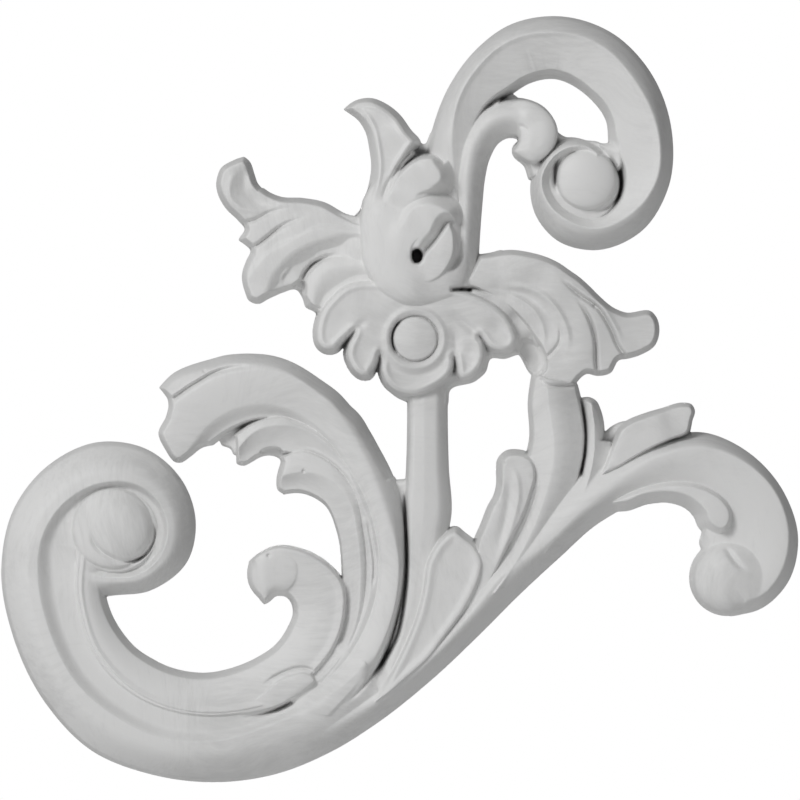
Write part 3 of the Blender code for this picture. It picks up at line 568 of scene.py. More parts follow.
# %% Groups
aside = []


def start_group():
    """Puts the relief carved so far aside, so that what follows can be trimmed on its own."""
    global relief
    aside.append(relief)
    relief = np.full((SAMPLES, SAMPLES), -BEHIND)


def end_group(name, fillet=0.0):
    """Joins the group to the relief that was put aside."""
    global relief
    group, relief = relief, aside.pop()
    merge(name, group, fillet)


print("groups put aside:", len(aside))

# %% The leaf's face
LEAF_HEIGHT = 0.0122        # crest of the large leaves
start_group()
leaf_outer = [(150, 398), (185, 364), (212, 355), (252, 350), (300, 363), (345, 395), (378, 441), (401, 495),
    (408, 560), (400, 615), (383, 665), (340, 715)]
leaf_crest = [(150, 425), (178, 405), (208, 384), (248, 371), (292, 377), (333, 408), (363, 455), (385, 510),
    (398, 560), (393, 610), (375, 655), (326, 714)]
leaf_inner = [(176, 470), (192, 443), (212, 419), (246, 403), (285, 406), (325, 431), (353, 468), (374, 510),
    (382, 555), (379, 595), (362, 642), (300, 708)]
leaf_under = [(186, 480), (206, 452), (226, 436), (254, 424), (284, 424), (315, 444), (341, 478), (360, 515),
    (370, 555), (368, 592), (350, 632), (292, 696)]
form("big_leaf", [leaf_outer, leaf_crest, leaf_inner, leaf_under],
      [(0, 0.60 * LEAF_HEIGHT, ""), (1, LEAF_HEIGHT, "swell"), (2, 0.90 * LEAF_HEIGHT, "swell"),
       (3, 0.62 * LEAF_HEIGHT, "ease")],
      rise=(0.85, 0.95, 1, 1, 1, 1), draft=0.2, ends=(False, False))

# %% The leaf's lobes
LOBE_HEIGHT = 0.0104        # crest of the small leaf lobes
form("middle_lobe",
      [[(231, 436), (250, 421), (280, 413), (312, 424), (345, 452), (370, 492), (382, 540), (384, 590), (370, 640),
        (325, 700)],
       [(236, 452), (257, 431), (283, 425), (310, 432), (335, 452), (356, 486), (368, 527), (372, 575), (358, 630),
        (312, 695)],
       [(236, 472), (262, 458), (282, 455), (306, 460), (328, 474), (344, 502), (353, 540), (355, 580), (346, 624),
        (304, 690)]],
      [(0, 0.88 * LOBE_HEIGHT, ""), (1, 0.99 * LOBE_HEIGHT, "swell"), (2, 0.70 * LOBE_HEIGHT, "scoop")],
      rise=(0.95, 1, 1, 1, 1, 0.95), draft=0.15, ends=(True, False))
form("inner_lobe",
      [[(276, 458), (300, 447), (332, 459), (356, 486), (367, 530), (369, 580), (362, 628), (340, 672), (296, 705)],
       [(276, 478), (302, 472), (328, 478), (347, 497), (357, 535), (360, 580), (355, 624), (334, 664), (290, 698)],
       [(275, 497), (303, 494), (325, 506), (337, 533), (341.5, 572), (341, 603), (334, 640), (318, 668),
        (280, 690)]],
      [(0, 0.90 * LOBE_HEIGHT, ""), (1, 0.98 * LOBE_HEIGHT, "swell"), (2, 0.70 * LOBE_HEIGHT, "scoop")],
      rise=(0.95, 1, 1, 1, 0.98, 0.9), draft=0.15, ends=(True, False))
plate("big_leaf_web", [(215, 425), (262, 430), (300, 460), (285, 478), (262, 461), (243, 458), (225, 450)], 0.0025,
      draft=0.2)

# %% [markdown]
# Sawing the outline is one tool more: a trim takes away all that is beyond a line and leaves a leaning,
# slightly rounded wall inside it. A cut is a pocket with an outline of its own. Both could be Booleans, but
# those leave a knife edge along the top.

# %% Folds, trims and cuts
def fold(points, lift, width, fade=(0.3, 0.3), side=1):
    """Lifts the surface on one side of a line, so that it overlaps the other side like a leaf edge."""
    line = traced(points)
    (rows, columns), gap, which, place = distances(line, 3 * width)
    raised = lift * taper(place, fade) * np.exp(-(gap / width) ** 2) * (which == side)
    here = relief[rows, columns]
    relief[rows, columns] = np.where(here > SKIN, here + raised, here)


def trim(points, side=1, draft=0.2, soft=0.0015, reach=16):
    """Saws the outline along a line: nothing is left beyond it, and the edge inside it is a leaning wall."""
    line = traced(points)
    (rows, columns), gap, which, place = distances(line, reach)
    depth = np.where(which == side, -gap, gap)
    wall = depth * SQUARE / draft
    here = relief[rows, columns]
    blend = np.clip(0.5 + 0.5 * (here - wall) / soft, 0, 1)
    sawn = here * (1 - blend) + wall * blend - soft * blend * (1 - blend)
    reached = (gap < reach) & (place > 0) & (place < 1)
    relief[rows, columns] = np.where(reached, np.maximum(np.minimum(sawn, here), -BEHIND), here)


def cut(outline, floor, draft=0.2, reach=14):
    """Cuts a pocket with this outline down to a floor, with leaning sides."""
    line = traced(outline, closed=True)
    (rows, columns), gap, _, _ = distances(line, reach)
    outside = np.where(inside_of(line, rows, columns), 0, gap)
    side = floor + outside * SQUARE / draft
    here = relief[rows, columns]
    relief[rows, columns] = np.where(outside < reach, np.minimum(here, np.maximum(side, floor)), here)


print(f"leaf before it is sawn: {carved_area():.1f} cm2")

# %% The leaf's outline
groove([(170, 401), (180, 394), (190, 387), (200, 381), (210, 375), (220, 371), (240, 367), (262, 368)], 2.2,
      0.0016, fade=(0, 0.4))
fold([(168, 399), (180, 392), (190, 385), (200, 379), (210, 373), (220, 369), (240, 365)], 0.0008, 8, fade=(0, 0.5),
      side=-1)
trim([(153, 380), (158, 387), (163, 393), (167, 399), (168, 405), (166, 415), (158, 435), (160, 441), (165, 450),
      (170, 458), (175, 462.5), (180, 463), (190, 457), (202, 448), (225, 447), (230, 449), (233, 456), (234, 461),
      (238, 465), (243, 466), (250, 464), (257, 459), (265, 456), (272, 456), (280, 460), (278, 470), (276, 480),
      (278, 491), (283, 494)],
      side=1, draft=0.15)
trim([(150, 392), (158, 386), (170, 375), (180, 369), (190, 365), (210, 359), (225, 355), (240, 353.5),
      (255, 353.5), (270, 355), (290, 361), (300, 366), (320, 379), (340, 394), (350, 405), (360, 415), (370, 431),
      (380, 449), (390, 468), (394, 477)],
      side=-1, draft=0.25)
end_group("big leaf and its lobes", 0.0025)
groove([(295, 448), (312, 450), (330, 459), (347, 475), (358, 494), (364, 515)], 1.8, -0.0005, fade=(0.2, 0.3))
groove([(360, 505), (367, 520), (371, 540), (374, 560), (374, 575), (371, 592)], 1.6, 0.0012, fade=(0.3, 0.2))
cut([(262, 452), (270, 449), (281, 451), (281, 460), (272, 457), (264, 456)], 0.0030, draft=0.12, reach=3)
cut([(224, 448), (229, 441), (234, 436), (236, 446), (234, 458), (230, 452)], 0.0025, draft=0.10, reach=3)

# %% [markdown]
# ## The stem
#
# The flower stands on a straight stem that slips behind the large leaf. The crack between them is the
# darkest line of the whole casting. A tongue, the first small leaf, covers the stem's foot. The crack needs
# a floor of its own, low down, so that it is deep but doesn't cut through to the wall behind.

# %% The stem and the tongue
STEM_HEIGHT = 0.0086        # face of the flower's stem
WEB_HEIGHT = 0.0030         # low sheets between neighbouring leaves
form("stem",
      [[(407, 380), (407, 430), (406, 468), (404, 500), (403, 560), (398, 610), (386, 652), (368, 690), (345, 715)],
       [(448, 380), (448, 430), (449, 468), (451.5, 515), (440, 560), (426, 605), (410, 655), (390, 690),
        (360, 715)]],
      [(0, 0.80 * STEM_HEIGHT, ""), (0.14, 0.97 * STEM_HEIGHT, "swell"), (0.4, STEM_HEIGHT, "line"),
       (0.66, 0.95 * STEM_HEIGHT, "line"), (1, 0.45 * STEM_HEIGHT, "swell")],
      draft=0.12, ends=(False, False), fillet=0.001)
plate("leaf_gap_floor",
      [(394, 480), (412, 480), (414, 520), (414, 580), (404, 640), (372, 700), (340, 720), (325, 712), (370, 655),
       (395, 590), (396, 520)],
      WEB_HEIGHT, draft=0.2)
plate("tongue",
      [(446, 529), (456, 526), (466, 533), (479, 544), (487, 562), (485, 576), (479, 592), (468, 613), (450, 638),
       (432, 662), (412, 680), (385, 702), (360, 715), (372, 695), (390, 665), (403, 638), (413, 612), (419, 588),
       (423, 562), (431, 545), (438, 536)],
      [(460, 545, 0.0108), (455, 590, 0.0112), (430, 640, 0.0118), (400, 680, 0.0120), (372, 705, 0.0118)],
      round_over=6, drop=0.0012, draft=0.14, rim=(0.0006, 9, 4), fillet=0.0008)

# %% [markdown]
# Where several forms run into one another at the foot, the real casting is worn soft, as if rubbed with a
# thumb. Shade Smooth would only blur the shading. The soften tool blurs the heights themselves round one
# spot. It comes before the crack, which stays sharp.

# %% Soft places and the crack
def soften(centre, reach, radius):
    """Smooths the relief round a spot, and leaves it as it was further off."""
    x, y = centre
    pad = int(3 * radius * FINENESS) + 2
    low = [int((v - 2.2 * reach) * FINENESS) - pad for v in (x, y)]
    high = [int((v + 2.2 * reach) * FINENESS) + pad for v in (x, y)]
    rows, columns = slice(max(low[1], 0), high[1]), slice(max(low[0], 0), high[0])
    here = relief[rows, columns]
    size = int(math.ceil(3 * radius * FINENESS))
    bell = np.exp(-0.5 * (np.arange(-size, size + 1) / (radius * FINENESS)) ** 2)
    solid = (here > 0.0004).astype(float)
    value, weight = here * solid, solid
    for axis in (0, 1):
        value, weight = (np.apply_along_axis(np.convolve, axis, field, bell, mode="same") for field in (value, weight))
    smooth = value / np.maximum(weight, 1e-9)
    away = np.hypot(WHERE[None, columns] - x, WHERE[rows, None] - y)
    share = np.exp(-(away / reach) ** 4) * solid
    relief[rows, columns] = here + (smooth - here) * share


soften((373, 678), 17, 5)
soften((312, 704), 20, 4)
soften((342, 648), 8, 2.5)
soften((272, 572), 25, 4)
groove([(405, 490), (406, 520), (407, 560), (404, 600), (396, 638), (384, 660), (370, 678), (354, 696), (340, 706)],
      1.6, 0.0050, fade=(0.1, 0.4))
print(f"scroll, leaf and stem: up to {relief.max() * 1000:.1f} mm")

# %% [markdown]
# ## The diagonal limb
#
# A limb rises from the foot to the right, narrows, and bends down into a volute with a ball at its end. It
# is a loft on three rails: upper edge, crest and lower edge. The crest lies in the middle at the foot and
# close to the upper edge at the bend, so it can't be a swept section. A thin curl lies on it at the bend.

# %% The limb, its curl and its ball
LIMB_HEIGHT = 0.0115        # crest of the diagonal limb
limb_upper = [(285, 712), (340, 692), (395, 662), (447, 615), (478, 575), (515, 520), (560, 480), (605, 458),
    (650, 441), (705, 432.5), (750, 453), (785, 493), (799, 540), (788, 584), (760, 610), (732, 616)]
limb_crest = [(288, 738), (355, 712), (418, 668), (468, 617), (503, 575), (543, 545), (583, 508), (626, 476),
    (662, 456), (710, 449), (744, 463), (772, 490), (786, 530), (779, 570), (762, 592), (738, 600)]
limb_lower = [(292, 768), (360, 735), (430, 682), (480, 635), (520, 595), (560, 558), (600, 523), (635, 505),
    (668, 501), (694, 511), (702, 530), (700, 545), (705, 553), (715, 557), (716, 562), (714, 570)]
form("limb", [limb_upper, limb_crest, limb_lower],
      [(0, 0.60 * LIMB_HEIGHT, ""), (1, LIMB_HEIGHT, "swell"), (2, 0.52 * LIMB_HEIGHT, "swell")],
      rise=(0.85, 1, 1, 1, 1, 1), draft=0.3, ends=(False, True))
plate("curl",
      [(600, 505), (620, 492), (645, 482), (670, 477), (695, 478), (712, 484), (727, 494), (736, 508), (737, 520),
       (731, 532), (720, 537), (708, 532), (702, 526), (697, 515), (688, 506), (672, 500), (648, 501), (625, 508)],
      [(712, 510, 0.0128), (690, 492, 0.0125), (650, 492, 0.0118), (610, 503, 0.0105)], round_over=7, drop=0.0014,
      draft=0.28, base=0.004)
dome("right_ball", (728, 578), 38.5, 0.50 * EYE_HEIGHT, 0.92 * EYE_HEIGHT, draft=0.15, fillet=0.0030, power=2.2)
groove([(720, 547), (727, 551), (733, 559), (740, 566), (750, 570)], 3.0, 0.0012, fade=(0.3, 0.5))
soften((738, 600), 9, 3)
soften((706, 543), 7, 3)

# %% [markdown]
# ## Leaves on the limb
#
# Four leaves stand on the limb: an upright one that reaches the flower, a short one, a sliver, and one that
# lies along the bend. The real ones are each a blade with a crease or two. The upright one and the sliver
# have a crest along their length and are lofts. The other two are flat-faced and are plates. Low webs fill
# the gaps behind them, as in the casting, where no opening shows.

# %% The upright leaf and the short leaf
form("upright_leaf",
      [[(484, 602), (500, 560), (512, 525), (518, 490), (524, 462), (529, 440), (528, 400), (532, 372)],
       [(494, 592), (520, 553), (539, 512), (549, 480), (553, 460), (553, 440), (548, 405), (546, 379)],
       [(512, 582), (542, 545), (566, 510), (580, 480), (585, 460), (587, 440), (583, 405), (578, 384)]],
      [(0, 0.66 * LEAF_HEIGHT, ""), (1, 0.95 * LEAF_HEIGHT, "line"), (2, 0.66 * LEAF_HEIGHT, "swell")], draft=0.15,
      ends=(False, False))
plate("short_leaf",
      [(425, 660), (455, 612), (472, 565), (474, 539), (480, 525), (488, 505), (493.5, 495), (496, 485), (496, 470),
       (497, 460), (501, 454), (507, 450), (515, 449), (526, 451), (534, 456), (539, 466), (540, 478), (536, 493),
       (526, 520), (513, 545), (500, 572), (482, 602), (455, 640)],
      [(504, 470, 0.0112), (500, 510, 0.0110), (528, 475, 0.0116), (520, 505, 0.0112), (505, 545, 0.0106),
       (480, 590, 0.0100), (440, 650, 0.0090)],
      round_over=5, drop=0.0010, draft=0.15)
groove([(505, 462), (512, 468), (516, 477), (518, 490), (513, 520), (502, 550), (492, 572)], 3.0, -0.0006,
      fade=(0.2, 0.3))
groove([(507, 474), (509, 490), (505, 520), (495, 550)], 4.5, 0.0009, fade=(0.3, 0.4))
groove([(539, 478), (536, 492), (526, 520), (513, 546), (500, 572)], 1.6, 0.0014, fade=(0.2, 0.5))

# %% The sliver and the leaf along the bend
start_group()
form("sliver_leaf",
      [[(535, 560), (562, 520), (575, 490), (582, 465), (584.5, 430), (581, 400), (579, 390)],
       [(545, 552), (571, 515), (587, 482), (593, 455), (594, 430), (591, 404), (590, 390)],
       [(562, 545), (592, 505), (608, 475), (615, 450), (611, 425), (605, 404), (602, 390)]],
      [(0, 0.78 * LOBE_HEIGHT, ""), (1, 0.98 * LOBE_HEIGHT, "line"), (2, 0.60 * LOBE_HEIGHT, "line")], draft=0.2,
      ends=(False, False))
trim([(574, 400), (580, 398), (590, 397), (597, 401), (601, 409), (604, 420), (605, 432), (604, 441)], side=-1,
      draft=0.15)
end_group("sliver leaf, trimmed", 0.001)
plate("limb_leaf",
      [(545, 545), (575, 505), (600, 468), (613, 437), (618, 427), (626, 421), (645, 413), (662, 408), (684, 402.5),
       (692, 404), (695.5, 410), (693, 421), (690, 433), (670, 443), (655, 450), (640, 458), (620, 470), (604, 478),
       (590, 500), (575, 525)],
      [(680, 415, 0.0092), (650, 430, 0.0108), (620, 450, 0.0108), (580, 510, 0.0100)], round_over=6, drop=0.0010,
      draft=0.12)
plate("limb_leaf_web",
      [(577, 393), (580, 398), (590, 398), (600, 410), (604, 432), (612, 426), (624, 421), (650, 432), (688, 433),
       (700, 433), (715, 436), (700, 452), (640, 462), (600, 460), (570, 440), (565, 400)],
      0.75 * WEB_HEIGHT, draft=0.2)

# %% [markdown]
# ## The rosette
#
# The flower's lower half is a rosette of five petals with a button at its middle. The petals could be one
# petal, copied round with a spin, but the real ones are all different, because the rosette is seen tilted
# and is partly under the calyx. So it is one plate with a scalloped outline and a raised rim, and the
# valleys between its petals are grooves that fade towards the middle.

# %% The rosette's petals
plate("rosette_web",
      [(385, 378), (400, 370), (450, 370), (490, 340), (525, 330), (540, 350), (534, 372), (520, 355), (505, 359),
       (491, 359), (486, 372), (476, 381), (450, 391), (448, 405), (406, 402), (392, 394)],
      0.0052, draft=0.15)
plate("rosette_face",
      [(375, 282), (355, 283), (343, 288), (333, 297), (324, 308), (319, 320), (317, 334), (319, 344), (325, 349.5),
       (333, 350), (343, 341), (351, 334), (354.5, 331), (353.5, 335), (349, 345), (347.5, 354), (350, 363),
       (355, 371), (362, 376), (368, 376), (373, 369), (377.5, 360), (380, 354), (381.5, 360), (382, 372),
       (386, 382), (393, 389), (401, 393), (412, 395), (423, 393), (433, 388), (442, 382), (449, 375), (452, 367),
       (454, 356), (457, 364), (458, 373), (461, 378), (467, 378.5), (475, 374), (481, 366), (484, 356), (483, 345),
       (479.5, 336), (483, 340), (490, 348), (498, 351), (506, 351), (513, 347), (516, 340), (514, 331), (505, 315),
       (495, 306), (483, 299), (468, 293), (455, 289), (430, 286), (400, 284)],
      [(330, 335, 0.0118), (350, 300, 0.0128), (380, 300, 0.0126), (362, 360, 0.0116), (415, 385, 0.0112),
       (468, 365, 0.0116), (500, 335, 0.0118), (480, 308, 0.0124), (450, 302, 0.0122), (415, 339, 0.0112),
       (385, 339, 0.0114), (445, 339, 0.0114), (415, 312, 0.0118)],
      round_over=5, drop=0.0008, draft=0.13, rim=(0.0005, 5, 2.6), base=0.0102)
groove([(354, 332), (362, 324), (372, 318)], 4, 0.0008, fade=(0, 0.7))
groove([(380, 356), (382, 348), (386, 342)], 3, 0.0007, fade=(0, 0.7))
groove([(454, 358), (456, 345), (453, 330), (446, 322)], 4.5, 0.0011, fade=(0, 0.6))
groove([(479, 337), (468, 326), (455, 317), (440, 310)], 4.5, 0.0011, fade=(0, 0.6))

# %% [markdown]
# The petals are dished and the button is proud, with fine rings round it. These are all round and soft, so
# two more tools do them: a hollow is pressed in or swells up round a point, and a ring is raised or cut
# at one distance from it, all round or over part of the circle.

# %% Hollows and rings
def hollow(centre, radius, depth):
    """Presses a shallow round hollow, or with a negative depth raises a swelling."""
    away = np.hypot(WHERE[None, :] - centre[0], WHERE[:, None] - centre[1])
    relief[:] = np.where(relief > SKIN, relief - depth * np.exp(-(away / radius) ** 2), relief)


def ring(centre, radius, width, lift, arc=None):
    """Raises a ring round a centre, or with a negative lift cuts one; arc gives its first and last bearing."""
    dx, dy = WHERE[None, :] - centre[0], WHERE[:, None] - centre[1]
    raised = lift * np.exp(-((np.hypot(dx, dy) - radius) / width) ** 2)
    if arc:
        bearing = np.degrees(np.arctan2(-dy, dx)) % 360
        middle, half = (arc[0] + arc[1]) / 2, (arc[1] - arc[0]) / 2
        off = np.abs((bearing - middle + 180) % 360 - 180)
        raised = raised * np.clip((half - off) / 20 + 0.5, 0, 1)
    relief[:] = np.where(relief > LEAST, np.maximum(relief + raised, LEAST), relief)


print(f"carved so far: {carved_area():.0f} cm2")

# %% The petals' dishes and the button
hollow((345, 318), 10, 0.0005)
hollow((362, 352), 9, 0.0004)
hollow((497, 328), 8, 0.0005)
hollow((470, 352), 7, 0.0005)
hollow(BUTTON_CENTRE, 34, 0.0008)
ring(BUTTON_CENTRE, 29, 3.2, 0.0008)
ring(BUTTON_CENTRE, 37, 3.5, -0.0006, arc=(200, 340))
ring(BUTTON_CENTRE, 46, 4, 0.0004, arc=(210, 330))
hollow(BUTTON_CENTRE, 20, -0.0022)
ring(BUTTON_CENTRE, 22.7, 0.9, -0.0018)
ring(BUTTON_CENTRE, 23.0, 1.4, -0.0030, arc=(130, 215))
print(f"button: {relief[int(BUTTON_CENTRE[1] * FINENESS), int(BUTTON_CENTRE[0] * FINENESS)] * 1000:.1f} mm")

# %% [markdown]
# ## The calyx
#
# Over the rosette sits the calyx, the highest part of the onlay: a round belly, a tall pointed leaf, and
# lobes that curl over a slot with a small round hole. The belly could be a sphere, squeezed, but it flattens
# towards the leaf. It is a plate with a wide shoulder, which is close to a cushion. The slot is cut before
# the lobes are laid on, so that their edges stay whole along it.

# %% The belly, the tall leaf and the slot
plate("calyx_belly",
      [(364, 200), (361, 216), (360.5, 234), (361.5, 250), (366, 270), (372, 281), (380, 291), (390, 298),
       (400, 303), (412, 305.5), (425, 304.5), (442, 300), (456, 294), (464, 284), (468, 270), (467, 250),
       (464, 235), (458, 222), (448, 210), (436, 198), (425, 186), (412, 176), (398, 170), (376, 182)],
      [(405, 238, 0.0170), (378, 228, 0.0158), (372, 250, 0.0157), (400, 290, 0.0162), (440, 287, 0.0150),
       (460, 255, 0.0138), (455, 230, 0.0140), (425, 205, 0.0150), (392, 195, 0.0146)],
      round_over=30, drop=0.0042, draft=0.12, base=0.0105, skirt=0.0080, fillet=0.002)
plate("tall_leaf",
      [(343, 109), (355, 100), (372, 97.5), (386, 103), (400, 114), (411, 129), (421, 142), (413, 156), (403, 172),
       (397, 195), (390, 225), (376, 240), (362, 228), (354, 217), (361, 208), (367, 190), (371, 165), (369, 148),
       (365, 131), (357, 119), (349, 113)],
      [(352, 106, 0.0082), (380, 116, 0.0105), (386, 145, 0.0122), (380, 185, 0.0140), (382, 208, 0.0122),
       (378, 232, 0.0090), (358, 217, 0.0095)],
      round_over=4, drop=0.0006, draft=0.16, rim=(0.0006, 10, 2.2), fillet=0.003)
cut([(446, 203), (459, 207), (462, 218), (453, 225), (438, 241), (427, 252), (422, 262), (415, 262), (414, 251),
     (428, 234), (441, 217), (440, 207)],
      0.0118, draft=0.2, reach=6)
plate("lobe_floor", [(436, 182), (458, 182), (466, 205), (464, 226), (446, 218), (434, 202)], 0.0100, draft=0.2)
plate("leaf_join",
      [(374, 210), (380, 186), (390, 165), (402, 152), (412, 146), (418, 152), (410, 170), (394, 192), (384, 212)],
      [(380, 200, 0.0126), (400, 165, 0.0118), (412, 152, 0.0095)], draft=0.2, round_over=4)

# %% The curled lobes
start_group()
plate("calyx_lobe_upper",
      [(366, 226), (372, 202), (379, 180), (390, 162), (404, 150), (422, 143), (438, 147), (447, 160), (452, 169),
       (453.5, 178), (451, 188), (441, 197), (424, 207), (404, 217), (392, 226)],
      [(380, 215, 0.0125), (396, 192, 0.0158), (416, 170, 0.0177), (432, 161, 0.0181)], round_over=14, drop=0.0014,
      draft=0.48, base=0.0106, skirt=0.0100)
trim([(372, 230), (380, 202), (387, 184), (396, 170), (408, 159), (422, 152.5), (434, 152.5), (447, 161)], side=-1,
      draft=0.12)
end_group("upper lobe, trimmed", 0.0012)
plate("calyx_lobe_middle",
      [(388, 258), (391, 226), (402, 204), (418, 194), (434, 193), (449, 199), (458, 206), (461, 215), (456, 226),
       (449, 225), (438, 240), (427, 251), (421, 262), (408, 264), (396, 262)],
      [(397, 243, 0.0158), (412, 220, 0.0178), (430, 205, 0.0186)], round_over=14, drop=0.0014, draft=0.48,
      base=0.0116, skirt=0.0105, fillet=0.0012)
plate("calyx_lobe_lower",
      [(414, 275), (424, 254), (433, 243), (441, 232), (449, 222.5), (454, 230), (456, 243), (455, 256), (449, 268),
       (438, 280), (424, 284)],
      [(448, 230, 0.0172), (444, 250, 0.0172), (432, 268, 0.0158), (420, 276, 0.0150)], round_over=5, drop=0.0008,
      draft=0.14, base=0.0120, skirt=0.0110, fillet=0.0008)
cut([(413.5, 252), (413, 258), (415.5, 262), (419.5, 261), (421, 254), (418, 250.5)], 0.0040, draft=0.05, reach=2)

# %% Creases in the calyx
groove([(458, 226), (462, 238), (462, 250), (457, 263), (447, 273)], 2.8, 0.0026, fade=(0.3, 0.3))
groove([(382, 205), (386, 190), (393, 176), (403, 164), (414, 156)], 2.2, 0.0014, fade=(0.3, 0.3))
groove([(414, 199), (426, 194), (438, 194)], 1.6, 0.0010, fade=(0.4, 0.2))
print(f"calyx: up to {relief.max() * 1000:.1f} mm")

# %% [markdown]
# ## The branch
#
# From the calyx a second, thinner branch rises beside the top scroll and ends in a blunt tip that leans on
# the volute. It is a loft whose crest keeps one share of the way between its edges, with a plate for the
# tip, because a loft's end is always straight and the tip is round.

# %% The branch and its tip
branch_outer = [(452, 292), (452, 240), (452, 200), (453, 165), (460, 134), (476, 112), (500, 99), (525, 98),
    (545, 107), (556, 124), (556, 142)]
branch_inner = [(478, 292), (480, 240), (483, 200), (485, 180), (491, 156), (500, 142), (508, 138), (514, 138),
    (520, 141), (523, 146), (524, 152)]
form("branch", [branch_outer, between(branch_outer, branch_inner, 0.45), branch_inner],
      [(0, 0.80 * LOBE_HEIGHT, ""), (1, 1.05 * LOBE_HEIGHT, "swell"), (2, 0.55 * LOBE_HEIGHT, "swell")], draft=0.15,
      ends=(False, False))
plate("branch_tip",
      [(505, 112), (516, 101), (535, 103), (549, 113), (557, 128), (555, 145), (546, 157), (533, 163.5), (521, 159),
       (513, 152), (518, 144), (519, 134)],
      [(512, 115, 0.0100), (530, 118, 0.0116), (544, 132, 0.0120), (530, 150, 0.0118)], round_over=14, drop=0.0026,
      draft=0.10, base=0.0070, skirt=0.0060, fillet=0.0015)
groove([(516, 127.5), (521, 127), (525, 129.5), (528, 136)], 1.6, 0.0007, fade=(0.3, 0.5))

# %% [markdown]
# ## Webs
#
# Between branch, scroll and leaf the casting has thin sheets low down, which stiffen it. A Grid Fill
# between the forms would do in a mesh. Here they are plates with no shoulder to speak of. Most of their
# outline lies under higher forms, so only an edge that faces an opening follows the photograph.

# %% The webs round the branch
plate("branch_root_web",
      [(452, 175), (458, 150), (468, 126), (484, 106), (500, 97), (506, 104), (490, 118), (474, 140), (464, 172)],
      0.0088, draft=0.2, round_over=4)
plate("web_by_tall_leaf",
      [(404, 128), (416, 137.5), (424, 143), (431, 131), (442, 125), (452, 150), (442, 178), (405, 175)],
      0.4 * WEB_HEIGHT, draft=0.2)
plate("web_in_hook",
      [(488, 104), (502, 98), (512, 93), (517, 96), (523, 102), (535, 104), (543, 109), (549, 116), (552, 124),
       (563, 135), (580, 139), (602, 144), (600, 160), (560, 165), (545, 165), (535, 172), (530, 180), (524, 166),
       (513, 155), (512, 149), (530, 130), (500, 120)],
      WEB_HEIGHT, draft=0.15)
plate("web_by_volute", [(514, 152), (525, 165), (531.5, 180), (545, 176), (552, 160), (536, 158)], 0.0062,
      draft=0.2)
plate("web_by_calyx",
      [(450, 290), (462, 258), (478, 248), (479, 254), (490, 252.5), (503, 250), (507, 265), (480, 305),
       (450, 305)],
      WEB_HEIGHT, draft=0.15)

# %% [markdown]
# ## The top scroll
#
# The hook at the top is a single roll: a broad band that falls gently inwards from its crest, and a narrow
# round slope outside. It rises from the calyx and winds round its own volute. A spin would keep it round,
# and it isn't, so one loft follows it all the way, as on the left scroll. Its eye is a dome on a lower one,
# with a dark crescent cut on each side.

# %% The roll of the top scroll
top_outer = [(420, 196), (424, 168), (430, 137), (450, 84), (478, 47), (508, 25), (560, 15.5), (612, 32), (650, 70),
    (672, 128), (669, 187), (642, 231), (596, 250), (557, 240), (535, 213), (531, 180), (542, 154), (566, 137),
    (592, 142), (604, 149)]
top_edge = [(455, 196), (454, 168), (452, 140), (463, 90), (483, 62), (512, 41), (554, 34), (598, 47), (632, 80),
    (656, 130), (655, 182), (631, 214), (597, 229), (567, 221), (547, 202), (541, 182), (551, 160), (570, 148),
    (588, 149), (597, 156)]
top_inner = [(474, 196), (474, 168), (476, 140), (495, 105), (512, 94), (530, 83), (552, 78.5), (590, 98),
    (606, 120), (609, 145), (618, 178), (612, 200), (592, 214), (570, 208), (556, 192), (553, 176), (561, 162),
    (577, 155), (584, 158), (590, 164)]
form("top_roll", [top_outer, top_edge, top_inner],
      [(0, 0.50 * ROLL_HEIGHT, ""), (1, 1.0 * ROLL_HEIGHT, "swell"), (2, 0.80 * ROLL_HEIGHT, "line")],
      rise=(0.75, 0.95, 1, 1, 1, 1, 1, 1, 1, 1, 1, 1, 1), draft=0.22, ends=(False, False))
groove([(452, 142), (453, 120), (463, 90), (475, 72), (495, 51), (520, 38), (550, 34), (580, 38), (608, 53),
        (632, 80), (650, 113), (658, 145), (656, 175), (645, 198), (622, 218), (598, 228), (570, 222), (549, 205),
        (542, 185)],
      3.0, -0.0005, fade=(0.1, 0.1))

# %% The eye of the top scroll
dome("top_volute_floor", (580, 186), 44, 0.70 * ROLL_HEIGHT, 0.76 * ROLL_HEIGHT, draft=0.2)
dome("top_eye", (586, 180), 33, 0.78 * EYE_HEIGHT, 0.97 * EYE_HEIGHT, draft=0.10, fillet=0.0012)
groove([(563, 157), (557, 163), (555, 175), (555, 185), (558, 195)], 2.2, 0.0036, fade=(0.3, 0.4))
groove([(606, 154), (614, 162), (620, 173), (621.5, 184), (618, 197), (610, 206), (600, 211), (590, 213)], 2.0,
      0.0032, fade=(0.4, 0.5))
plate("web_right_of_eye", [(594, 140), (604, 143), (614, 142), (624, 152), (625, 168), (618, 174), (608, 160)],
      0.0098, draft=0.15)
soften((612, 150), 10, 3)

# %% [markdown]
# ## The leaf on the left of the flower
#
# A leaf with a turned-up tip spreads to the left. Its edge has three ragged lobes, and the middle one
# stands up over the others. It is a plate in its own group, with a second plate and a small loft laid on
# it, and the ragged edge is sawn afterwards through all three, which is how a carver would do it too.

